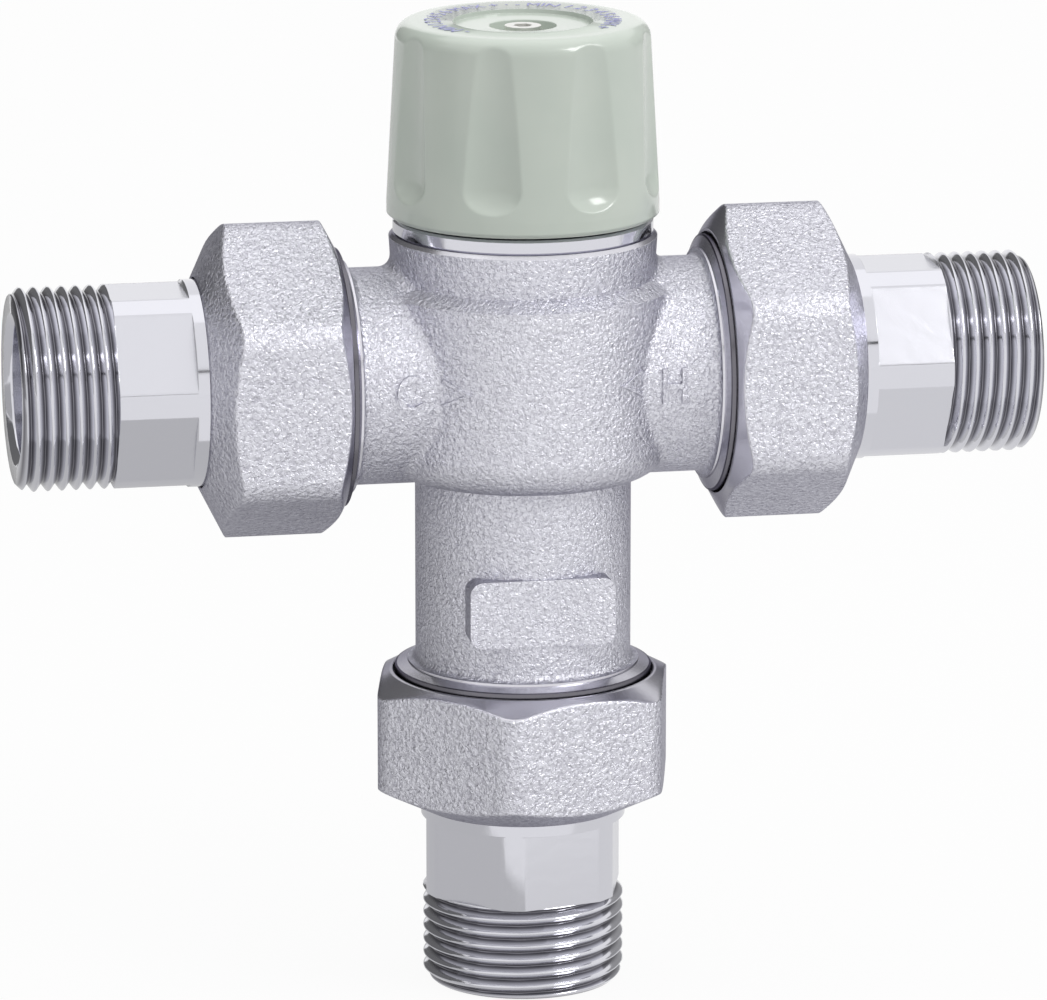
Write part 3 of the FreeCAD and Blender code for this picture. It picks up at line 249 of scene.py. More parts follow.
class Port(Enum):
    """The three ports by the names of their nodes."""

    HOT = "hot"
    COLD = "cold"
    OUTLET = "outlet"


@dataclass(frozen=True)
class Axis:
    """A line that pieces are turned about.

    A point at a distance along the axis, a radius and an angle lies at
    start + along * out + radius * (cos(angle) * zero + sin(angle) * quarter).
    """

    start: Array
    out: Array
    zero: Array
    quarter: Array

    def points(self, along: Array, radius: Array, angle: Array) -> Array:
        """Places in the part's frame for arrays of along, radius and angle.

        Args:
            along: distances along the axis.
            radius: distances from it.
            angle: angles about it, in radians.

        Returns:
            An array of the broadcast shape x 3.
        """
        along, radius, angle = np.broadcast_arrays(along, radius, angle)
        side = np.cos(angle)[..., None] * self.zero + np.sin(angle)[..., None] * self.quarter
        return self.start + along[..., None] * self.out + radius[..., None] * side


@dataclass(frozen=True)
class Frame:
    """Places read from the part's own nodes."""

    height: float
    inlet_end: float
    outlet_end: float

    @classmethod
    def read(cls) -> "Frame":
        """Work the places out from the boxes of the tailpieces.

        Returns:
            The places.
        """
        low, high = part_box("hot_tailpiece")
        bottom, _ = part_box("outlet_tailpiece")
        return cls((low[2] + high[2]) / 2, high[0], bottom[2])

    def port_axis(self, port: Port) -> Axis:
        """The axis of a port, measured from its tail's end inwards.

        Its angles are counted from the front (-Y), upwards on the inlets and towards the cold
        side on the outlet.

        Args:
            port: which port.

        Returns:
            The axis.
        """
        front = np.array([0.0, -1.0, 0.0])
        if port is Port.OUTLET:
            start = np.array([0.0, 0.0, self.outlet_end])
            return Axis(start, np.array([0.0, 0.0, 1.0]), front, np.array([-1.0, 0.0, 0.0]))
        side = 1.0 if port is Port.HOT else -1.0
        start = np.array([side * self.inlet_end, 0.0, self.height])
        return Axis(start, np.array([-side, 0.0, 0.0]), front, np.array([0.0, 0.0, 1.0]))


def upright_axis(rise: float) -> Axis:
    """The valve's own axis from a height; angles run from +X towards +Y.

    Args:
        rise: the height at which distances along it start, in metres.

    Returns:
        The axis.
    """
    start = np.array([0.0, 0.0, rise])
    up = np.array([0.0, 0.0, 1.0])
    return Axis(start, up, np.array([1.0, 0.0, 0.0]), np.array([0.0, 1.0, 0.0]))


def turned_piece(
    name: str, axis: Axis, along: Array, outside: Array, rest: Array, turn: Array
) -> bpy.types.Object:
    """Make a closed piece from its outside and the outline of the rest of its section.

    Args:
        name: the piece's name.
        axis: the line that the piece is turned about.
        along: distances along it of the outside's rows, as one column.
        outside: the outside's radius, rows x columns.
        rest: points (along, radius) that lead from the last row back to the first.
        turn: the columns' angles, as one row.

    Returns:
        The new object, with its faces outwards.
    """
    inside = np.repeat(rest[:, 1:], outside.shape[1], axis=1)
    radius = np.concatenate([outside, inside])
    points = axis.points(np.concatenate([along, rest[:, :1]]), radius, turn)
    piece = grid_mesh(name, points)
    point_outwards(piece)
    return piece


# ---- materials ---------------------------------------------------------------------------


# A mix node numbers its inputs: values and colours have sockets of their own.
MIX_FACTOR = 0
MIX_VALUE_A = 2
MIX_VALUE_B = 3
MIX_COLOUR_A = 6
MIX_COLOUR_B = 7
MIX_COLOUR_OUT = 2
# A noise texture's values hardly leave this range.
NOISE_LOW = 0.3
NOISE_HIGH = 0.7
# Phase, in radians, that a ring wave texture gains over one unit at scale 1.
WAVE_PHASE = 20.0


def linear(hex_value: str) -> tuple[float, float, float, float]:
    """An sRGB hex colour as the linear colour that shaders use.

    A part c of the colour becomes c / 12.92 near black, else ((c + 0.055) / 1.055) ** 2.4.

    Args:
        hex_value: the colour as #RRGGBB.

    Returns:
        Red, green, blue and an alpha of 1.
    """
    parts = [int(hex_value[k : k + 2], 16) / 255.0 for k in (1, 3, 5)]
    bent = [c / 12.92 if c <= 0.04045 else ((c + 0.055) / 1.055) ** 2.4 for c in parts]
    return (bent[0], bent[1], bent[2], 1.0)


def per_metre(millimetres: float) -> float:
    """The scale of a pattern whose features are some millimetres apart."""
    return 1.0 / (millimetres * MM)


class Graph:
    """A new material's node tree, filled in one node at a time."""

    def __init__(self, name: str) -> None:
        self.material = bpy.data.materials.new(name)
        self.material.use_nodes = True
        self.tree = self.material.node_tree
        self.tree.nodes.clear()
        self.shader = self.add("ShaderNodeBsdfPrincipled")
        self.output = self.add(
            "ShaderNodeOutputMaterial", {"Surface": self.shader.outputs["BSDF"]}
        )
        self.place = self.add("ShaderNodeTexCoord").outputs["Object"]

    @classmethod
    def over(cls, tree: bpy.types.NodeTree) -> "Graph":
        """A graph on a node tree that exists already, emptied first.

        Args:
            tree: the node tree, such as a world's.

        Returns:
            The graph, with no shader and no output.
        """
        graph = cls.__new__(cls)
        graph.tree = tree
        tree.nodes.clear()
        return graph

    def add(self, kind: str, inputs: Optional[dict] = None, **settings: object) -> bpy.types.Node:
        """Add a node with its settings, input values and links.

        Args:
            kind: the node's type.
            inputs: socket name or number to a value or to another node's output.
            settings: properties of the node itself.

        Returns:
            The new node.
        """
        node = self.tree.nodes.new(kind)
        for key, value in settings.items():
            setattr(node, key, value)
        self.fill(node, inputs or {})
        return node

    def fill(self, node: bpy.types.Node, inputs: dict) -> None:
        """Set or link some inputs of a node.

        Args:
            node: the node.
            inputs: socket name or number to a value or to another node's output.
        """
        for key, value in inputs.items():
            if isinstance(value, bpy.types.NodeSocket):
                self.tree.links.new(value, node.inputs[key])
            else:
                node.inputs[key].default_value = value

    def two_tone(
        self, factor: bpy.types.NodeSocket, low: tuple[float, str], high: tuple[float, str]
    ) -> bpy.types.NodeSocket:
        """A colour that runs from one tone to another while a factor rises.

        Args:
            factor: the pattern that decides.
            low: the factor up to which the first tone holds, and that tone as #RRGGBB.
            high: the factor from which the second tone holds, and that tone.

        Returns:
            The socket that carries the colour.
        """
        share = self.add(
            "ShaderNodeMapRange", {"Value": factor, "From Min": low[0], "From Max": high[0]}
        )
        tone = self.add(
            "ShaderNodeMix",
            {
                MIX_FACTOR: share.outputs[0],
                MIX_COLOUR_A: linear(low[1]),
                MIX_COLOUR_B: linear(high[1]),
            },
            data_type="RGBA",
        )
        return tone.outputs[MIX_COLOUR_OUT]

    def surface(self, inputs: dict) -> bpy.types.Material:
        """Set the shader's own inputs and hand the material over."""
        self.fill(self.shader, inputs)
        return self.material

    def show(self, surface: bpy.types.NodeSocket) -> None:
        """Send another surface to the output in place of the shader."""
        self.tree.links.new(surface, self.output.inputs["Surface"])


@dataclass(frozen=True)
class CastChrome:
    """Satin chrome plate over a sand-textured brass casting.

    The plate copies the grain of the shot-blasted sand casting: pits and wrinkles half a
    millimetre across that glitter where they face the light, with painted shade that darkens
    their floors. Larger patches vary slightly in gloss. Where the skin is machined it is nearly
    smooth: inside the bands, or where the value 'machined' is 1 if there are no bands. In the
    recesses, the gaps behind the nuts, the colour is painted shade. Bands and recesses are
    (axis number, low, high) in metres.
    """

    name: str
    tint: str = "#E2E2EA"
    pit: str = "#C0BFC9"
    # pit: painted shade, the colour of the grain's low points, standing in for the shade in the
    # pits
    machined_tint: str = "#DCDBE2"
    gap_painted_shade: str = "#77757C"
    # the colour painted as shade in the recesses, the gaps behind the nuts
    edge_tint: str = "#9A99A2"
    grain_mm: float = 0.38
    pit_mm: float = 0.7
    patch_mm: float = 7.0
    relief_mm: float = 0.27
    pit_share: float = 0.45
    smoothing: float = 0.97
    # grain values over which the painted shade of the pits gives way to the tint
    painted_grain_shade: tuple[float, float] = (0.34, 0.58)
    roughness: float = 0.33
    machined_roughness: float = 0.2
    bands: tuple[tuple[float, float, float], ...] = ()
    recess: tuple[tuple[float, float, float], ...] = ()

    def build(self) -> bpy.types.Material:
        """Make the material.

        Returns:
            The material, with its nodes.
        """
        graph = Graph(self.name)
        grain = graph.add(
            "ShaderNodeTexNoise",
            {
                "Vector": graph.place,
                "Scale": per_metre(self.grain_mm),
                "Detail": 2.0,
                "Roughness": 0.6,
                "Distortion": 0.8,
            },
        )
        pits = graph.add(
            "ShaderNodeTexVoronoi",
            {"Vector": graph.place, "Scale": per_metre(self.pit_mm), "Smoothness": 0.5},
            feature="SMOOTH_F1",
        )
        if self.bands:
            machined = self.within(graph, self.bands)
        else:
            machined = graph.add("ShaderNodeAttribute", attribute_name="machined").outputs["Fac"]
        height = graph.add(
            "ShaderNodeMath",
            {0: pits.outputs["Distance"], 1: -self.pit_share, 2: grain.outputs["Fac"]},
            operation="MULTIPLY_ADD",
        )
        strength = graph.add(
            "ShaderNodeMath", {0: machined, 1: -self.smoothing, 2: 1.0}, operation="MULTIPLY_ADD"
        )
        bump = graph.add(
            "ShaderNodeBump",
            {
                "Height": height.outputs[0],
                "Strength": strength.outputs[0],
                "Distance": self.relief_mm * MM,
            },
        )
        return graph.surface(
            {
                "Base Color": self.colour(graph, grain.outputs["Fac"], machined),
                "Metallic": 1.0,
                "Specular Tint": linear(self.edge_tint),
                "Roughness": self.gloss(graph, machined),
                "Normal": bump.outputs["Normal"],
            }
        )

    def colour(
        self, graph: Graph, grain: bpy.types.NodeSocket, machined: bpy.types.NodeSocket
    ) -> bpy.types.NodeSocket:
        """Plate with painted shade in the grain's pits, an even tone where machined, and painted
        shade in the recesses.

        Args:
            graph: the material's graph.
            grain: the casting's grain.
            machined: the mask of the machined skin.

        Returns:
            The socket that carries the colour.
        """
        # painted shade: where the grain is low the plate takes the darker pit colour
        low, high = self.painted_grain_shade
        painted_grain_shade = graph.two_tone(grain, (low, self.pit), (high, self.tint))
        plate = graph.add(
            "ShaderNodeMix",
            {
                MIX_FACTOR: machined,
                MIX_COLOUR_A: painted_grain_shade,
                MIX_COLOUR_B: linear(self.machined_tint),
            },
            data_type="RGBA",
        ).outputs[MIX_COLOUR_OUT]
        if not self.recess:
            return plate
        # painted shade: the recesses behind the nuts take the dark gap colour
        return graph.add(
            "ShaderNodeMix",
            {
                MIX_FACTOR: self.within(graph, self.recess),
                MIX_COLOUR_A: plate,
                MIX_COLOUR_B: linear(self.gap_painted_shade),
            },
            data_type="RGBA",
        ).outputs[MIX_COLOUR_OUT]

    def gloss(self, graph: Graph, machined: bpy.types.NodeSocket) -> bpy.types.NodeSocket:
        """Roughness that varies in patches on the cast skin and is even where it is machined.

        Args:
            graph: the material's graph.
            machined: the mask of the machined skin.

        Returns:
            The socket that carries the roughness.
        """
        patches = graph.add(
            "ShaderNodeTexNoise",
            {"Vector": graph.place, "Scale": per_metre(self.patch_mm), "Detail": 3.0},
        )
        uneven = graph.add(
            "ShaderNodeMapRange",
            {
                "Value": patches.outputs["Fac"],
                "From Min": NOISE_LOW,
                "From Max": NOISE_HIGH,
                "To Min": self.roughness * 0.88,
                "To Max": self.roughness * 1.14,
            },
        )
        return graph.add(
            "ShaderNodeMix",
            {
                MIX_FACTOR: machined,
                MIX_VALUE_A: uneven.outputs[0],
                MIX_VALUE_B: self.machined_roughness,
            },
            data_type="FLOAT",
        ).outputs[0]

    def within(self, graph: Graph, bands: tuple) -> bpy.types.NodeSocket:
        """A mask that is 1 inside any of some bands along the axes.

        Args:
            graph: the material's graph.
            bands: (axis number, low, high) in metres of the object's own coordinates.

        Returns:
            The socket that carries the mask.
        """
        parts = graph.add("ShaderNodeSeparateXYZ", {"Vector": graph.place})
        total: Optional[bpy.types.NodeSocket] = None
        for axis, low, high in bands:
            inside = graph.add(
                "ShaderNodeMath",
                {0: parts.outputs[int(axis)], 1: (low + high) / 2, 2: (high - low) / 2},
                operation="COMPARE",
            ).outputs[0]
            if total is None:
                total = inside
                continue
            total = graph.add(
                "ShaderNodeMath", {0: total, 1: inside}, operation="MAXIMUM"
            ).outputs[0]
        return total


@dataclass(frozen=True)
class TurnedChrome:
    """Bright chrome plate over turned and milled brass.

    Turning leaves fine rings round the axis that only show as a slight softness, and the
    cutter leaves shallow arcs on the milled flats, where the value 'milled' is 1. In the roots
    of a thread, where the value 'root' is 1, the colour is darkened with painted shade.
    """

    name: str
    tint: str = "#D8D8DF"
    # painted shade for the thread's roots
    root_painted_shade: str = "#7B7A81"
    roughness: float = 0.1
    milled_roughness: float = 0.24
    arc_mm: float = 2.639
    smear_mm: float = 1.2
    relief_mm: float = 0.012

    def build(self) -> bpy.types.Material:
        """Make the material.

        Returns:
            The material, with its nodes.
        """
        graph = Graph(self.name)
        milled = graph.add("ShaderNodeAttribute", attribute_name="milled").outputs["Fac"]
        arcs = graph.add(
            "ShaderNodeTexWave",
            {
                "Vector": graph.place,
                "Scale": per_metre(self.arc_mm) * FULL_TURN / WAVE_PHASE,
                "Distortion": 6.0,
                "Detail": 2.0,
                "Detail Scale": 2.5,
            },
            wave_type="RINGS",
            rings_direction="SPHERICAL",
        )
        root = graph.add("ShaderNodeAttribute", attribute_name="root").outputs["Fac"]
        # painted shade: the thread darkens towards the root colour where the value 'root' is 1
        colour = graph.add(
            "ShaderNodeMix",
            {
                MIX_FACTOR: root,
                MIX_COLOUR_A: linear(self.tint),
                MIX_COLOUR_B: linear(self.root_painted_shade),
            },
            data_type="RGBA",
        )
        smear = graph.add(
            "ShaderNodeTexNoise",
            {"Vector": graph.place, "Scale": per_metre(self.smear_mm), "Detail": 4.0},
        )
        height = graph.add(
            "ShaderNodeMath", {0: arcs.outputs["Fac"], 1: milled}, operation="MULTIPLY"
        )
        bump = graph.add(
            "ShaderNodeBump",
            {"Height": height.outputs[0], "Strength": 0.5, "Distance": self.relief_mm * MM},
        )
        smooth = graph.add(
            "ShaderNodeMapRange",
            {
                "Value": smear.outputs["Fac"],
                "From Min": NOISE_LOW,
                "From Max": NOISE_HIGH,
                "To Min": self.roughness * 0.7,
                "To Max": self.roughness * 1.4,
            },
        )
        gloss = graph.add(
            "ShaderNodeMix",
            {
                MIX_FACTOR: milled,
                MIX_VALUE_A: smooth.outputs[0],
                MIX_VALUE_B: self.milled_roughness,
            },
            data_type="FLOAT",
        )
        return graph.surface(
            {
                "Base Color": colour.outputs[MIX_COLOUR_OUT],
                "Metallic": 1.0,
                "Roughness": gloss.outputs[0],
                "Normal": bump.outputs["Normal"],
            }
        )


@dataclass(frozen=True)
class MouldedPlastic:
    """Injection-moulded plastic: even colour, slight flow marks and a soft clear gloss."""

    name: str
    colour: str
    shade: str
    roughness: float = 0.2
    flow_mm: float = 9.0
    ripple_mm: float = 0.02

    def build(self) -> bpy.types.Material:
        """Make the material.

        Returns:
            The material, with its nodes.
        """
        graph = Graph(self.name)
        flow = graph.add(
            "ShaderNodeTexNoise",
            {"Vector": graph.place, "Scale": per_metre(self.flow_mm), "Detail": 2.0},
        )
        colour = graph.two_tone(
            flow.outputs["Fac"], (NOISE_LOW, self.shade), (NOISE_HIGH, self.colour)
        )
        bump = graph.add(
            "ShaderNodeBump",
            {"Height": flow.outputs["Fac"], "Strength": 0.25, "Distance": self.ripple_mm * MM},
        )
        return graph.surface(
            {
                "Base Color": colour,
                "Roughness": self.roughness,
                "IOR": 1.5,
                "Coat Weight": 0.5,
                "Coat Roughness": 0.12,
                "Normal": bump.outputs["Normal"],
            }
        )


@dataclass(frozen=True)
class BareMetal:
    """Uncoated metal, such as brass or stainless steel, with a slightly mottled gloss."""

    name: str
    colour: str
    roughness: float
    mottle_mm: float = 1.5

    def build(self) -> bpy.types.Material:
        """Make the material.

        Returns:
            The material, with its nodes.
        """
        graph = Graph(self.name)
        mottle = graph.add(
            "ShaderNodeTexNoise",
            {"Vector": graph.place, "Scale": per_metre(self.mottle_mm), "Detail": 3.0},
        )
        gloss = graph.add(
            "ShaderNodeMapRange",
            {
                "Value": mottle.outputs["Fac"],
                "From Min": NOISE_LOW,
                "From Max": NOISE_HIGH,
                "To Min": self.roughness * 0.75,
                "To Max": self.roughness * 1.3,
            },
        )
        return graph.surface(
            {
                "Base Color": linear(self.colour),
                "Metallic": 1.0,
                "Roughness": gloss.outputs[0],
            }
        )


@dataclass(frozen=True)
class SoftSeal:
    """Rubber or pressed fibre: dark, matt, with a fine powdery grain."""

    name: str
    colour: str
    roughness: float
    grain_mm: float = 0.25
    relief_mm: float = 0.02

    def build(self) -> bpy.types.Material:
        """Make the material.

        Returns:
            The material, with its nodes.
        """
        graph = Graph(self.name)
        grain = graph.add(
            "ShaderNodeTexNoise",
            {"Vector": graph.place, "Scale": per_metre(self.grain_mm), "Detail": 2.0},
        )
        bump = graph.add(
            "ShaderNodeBump",
            {"Height": grain.outputs["Fac"], "Strength": 0.5, "Distance": self.relief_mm * MM},
        )
        return graph.surface(
            {
                "Base Color": linear(self.colour),
                "Roughness": self.roughness,
                "Normal": bump.outputs["Normal"],
            }
        )


@dataclass(frozen=True)
class PadPrint:
    """Pad-printed ink: a thin even film, a little uneven where the pad lifted."""

    name: str
    colour: str = "#7A7BB6"
    worn: str = "#9C9DC8"
    roughness: float = 0.4
    wear_mm: float = 0.6
    wear: tuple[float, float] = (0.35, 0.6)

    def build(self) -> bpy.types.Material:
        """Make the material.

        Returns:
            The material, with its nodes.
        """
        graph = Graph(self.name)
        pattern = graph.add(
            "ShaderNodeTexNoise",
            {"Vector": graph.place, "Scale": per_metre(self.wear_mm), "Detail": 3.0},
        )
        low, high = self.wear
        colour = graph.two_tone(pattern.outputs["Fac"], (low, self.worn), (high, self.colour))
        return graph.surface({"Base Color": colour, "Roughness": self.roughness})


def dress(node: str, material: bpy.types.Material) -> None:
    """Give a node of the part one material.

    Args:
        node: the node's name.
        material: the material for all its slots.
    """
    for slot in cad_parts[node].material_slots:
        slot.material = material


# ---- unions ------------------------------------------------------------------------------


@dataclass
class Tail:
    """A threaded tailpiece with six milled flats.

    The thread is a helix: the radius at a distance s from the end and an angle t falls from the
    crest by depth times a rounded triangle wave of (s / pitch + t / one turn).
    """

    axis: Axis
    port: Port
    crest: float = 13.2 * MM
    depth: float = 1.12 * MM
    pitch: float = 1.814 * MM
    crest_share: float = 0.9
    thread: float = 12.2 * MM
    flat_length: float = 10.0 * MM
    apothem: float = 12.25 * MM
    plain: float = 13.38 * MM
    flange_start: float = 26.9 * MM
    length: float = 29.5 * MM
    flange: float = 15.78 * MM
    bore: float = 9.0 * MM
    end_radius: float = 12.2 * MM
    bore_mouth: float = 9.9 * MM
    flat_turn: float = 30.0
    columns: int = 288
    rows_per_pitch: int = 16
    thread_step: float = 0.05 * MM
    flat_step: float = 0.04 * MM

    def rows(self) -> Array:
        """Rows along the outside: even in each stretch and close together at its steps.

        Returns:
            Their distances from the tail's end.
        """
        turns = int(self.thread / self.pitch * self.rows_per_pitch)
        flats_end = self.thread + self.flat_length
        stops = [
            0.0,
            self.thread - self.thread_step,
            self.thread + self.thread_step,
            flats_end - self.flat_step,
            flats_end + self.flat_step,
            self.flange_start,
        ]
        return spread(stops, [turns, 3, 24, 3, 10])

    def outside(self, s: Array, turn: Array) -> Array:
        """Radius of the outside.

        Args:
            s: distances from the tail's end.
            turn: angles, in radians.

        Returns:
            The helix in the thread, the smaller of flat and plain radius in the flats, and the
            plain radius beyond them.
        """
        phase = s / self.pitch + turn / FULL_TURN
        wave = np.abs(2.0 * (phase - np.floor(phase)) - 1.0)
        ridge = soft_min(wave, np.full_like(wave, self.crest_share), 0.25)
        root = self.crest - self.depth * (1.0 - ridge / self.crest_share)
        mouth = self.end_radius + s
        threaded = soft_min(root, np.broadcast_to(mouth, root.shape), 0.15 * MM)
        offset = from_nearest(turn, HEX, self.flat_turn)
        flat = self.apothem / np.cos(offset)
        milled = np.minimum(np.broadcast_to(flat, root.shape), self.plain)
        in_thread = s < self.thread
        in_flats = (s > self.thread) & (s < self.thread + self.flat_length)
        plain = np.full_like(root, self.plain)
        return np.where(in_thread, threaded, np.where(in_flats, milled, plain))

    def milled(self, s: Array, turn: Array) -> Array:
        """1 on the milled flats, 0 elsewhere.

        Args:
            s: distances from the tail's end, as one column.
            turn: angles, in radians, as one row.

        Returns:
            The values, rows x columns.
        """
        shape = np.broadcast_shapes(s.shape, turn.shape)
        radius = self.outside(np.broadcast_to(s, shape), np.broadcast_to(turn, shape))
        in_flats = (s > self.thread) & (s < self.thread + self.flat_length)
        return np.where(in_flats & (radius < self.plain - 0.02 * MM), 1.0, 0.0)

    def root(self, s: Array, turn: Array) -> Array:
        """1 in the thread's roots, falling to 0 a little under the crests.

        Args:
            s: distances from the tail's end, rows x columns.
            turn: angles, in radians, as one row.

        Returns:
            The values, rows x columns.
        """
        depth = (self.crest - self.outside(s, turn)) / self.depth
        return np.where(s < self.thread, soft_step(depth, 0.35, 0.95), 0.0)

    def build(self, material: bpy.types.Material) -> bpy.types.Object:
        """Make the tail as one closed surface: outside, flange, bore and mouth.

        Args:
            material: its finish.

        Returns:
            The tail.
        """
        turn = round_angles(self.columns)
        s = self.rows()[:, None]
        whole = np.broadcast_to(s, (len(s), self.columns))
        outside = self.outside(whole, turn)
        rest = rounded_profile(
            [
                (self.flange_start, self.flange, 0.3 * MM),
                (self.length, self.flange, 0.3 * MM),
                (self.length, self.bore, 0.3 * MM),
                (self.bore_mouth - self.bore, self.bore, 0.2 * MM),
                (0.0, self.bore_mouth, 0.15 * MM),
            ]
        )
        name = self.port.value + "_threaded_tail"
        piece = turned_piece(name, self.axis, s, outside, rest, turn)
        inside = np.zeros((len(rest), self.columns))
        add_values(piece, "milled", np.concatenate([self.milled(s, turn), inside]))
        # the 'root' values say where the thread's colour is darkened with painted shade
        add_values(piece, "root", np.concatenate([self.root(whole, turn), inside]))
        piece.data.materials.append(material)
        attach(piece, "valve")
        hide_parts(self.port.value + "_tailpiece")
        return piece


@dataclass
class UnionNut:
    """A cast union nut: rounded hexagon cut by a cone at each end.

    The outside is the smallest of the rounded hexagon's radius, the crown cone's and the rim
    cone's, with soft edges. Distances run from the tail's end inwards.
    """

    axis: Axis
    port: Port
    body: str
    corner_turn: float
    across: float = 37.0 * MM
    corner: float = 4.0 * MM
    crown: float = 23.7 * MM
    crown_length: float = 3.9 * MM
    rim: float = 41.7 * MM
    rim_length: float = 2.2 * MM
    rim_radius: float = 17.25 * MM
    hole: float = 13.6 * MM
    thread: float = 16.6 * MM
    mouth: float = 17.05 * MM
    mouth_depth: float = 1.2 * MM
    lip: float = 3.1 * MM
    soft_edge: float = 0.35 * MM
    columns: int = 360

    def hexagon(self, turn: Array) -> Array:
        """Radius of the rounded hexagon: an arc about each corner's centre, else the flat.

        Args:
            turn: angles, in radians.

        Returns:
            The radius at each angle.
        """
        sector = FULL_TURN / HEX
        offset = from_nearest(turn, HEX, self.corner_turn)
        centre = (self.across / 2 - self.corner) / math.cos(sector / 2)
        inside = np.clip(self.corner**2 - (centre * np.sin(offset)) ** 2, 0.0, None)
        arc = centre * np.cos(offset) + np.sqrt(inside)
        flat = self.across / 2 / np.cos(np.abs(offset) - sector / 2)
        touch = math.atan2(self.corner * 0.5, centre + self.corner * math.cos(sector / 2))
        return np.where(np.abs(offset) < touch, arc, flat)

    def build(self, material: bpy.types.Material) -> bpy.types.Object:
        """Make the nut as one closed surface.

        Args:
            material: its finish.

        Returns:
            The nut.
        """
        turn = round_angles(self.columns)
        stops = [
            self.crown + 0.02 * MM,
            self.crown + self.crown_length + 0.6 * MM,
            self.rim - self.rim_length - 0.4 * MM,
            self.rim,
        ]
        s = spread(stops, [26, 16, 16])[:, None]
        reach = self.across / math.sqrt(3.0)
        crown = self.hole + (s - self.crown) * (reach - self.hole) / self.crown_length
        rim = self.rim_radius + (self.rim - s) * (reach - self.rim_radius) / self.rim_length
        body = np.broadcast_to(self.hexagon(turn), (len(s), self.columns))
        cones = np.broadcast_to(np.minimum(crown, rim), body.shape)
        outside = soft_min(body, cones, self.soft_edge)
        rest = rounded_profile(
            [
                (self.rim, self.mouth, 0.05 * MM),
                (self.rim - self.mouth_depth, self.mouth, 0.1 * MM),
                (self.rim - self.mouth_depth, self.thread, 0.1 * MM),
                (self.crown + self.lip, self.thread, 0.1 * MM),
                (self.crown + self.lip, self.hole, 0.2 * MM),
                (self.crown + 0.2 * MM, self.hole, 0.1 * MM),
            ]
        )
        name = self.port.value + "_nut_shell"
        piece = turned_piece(name, self.axis, s, outside, rest, turn)
        on_rim = soft_step(body - np.broadcast_to(rim, body.shape), -0.1 * MM, 0.1 * MM)
        inside = np.ones((len(rest), self.columns))
        add_values(piece, "machined", np.concatenate([on_rim, inside]))
        piece.data.materials.append(material)
        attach(piece, self.body)
        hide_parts(self.port.value + "_union_nut")
        return piece


# ---- knob --------------------------------------------------------------------------------


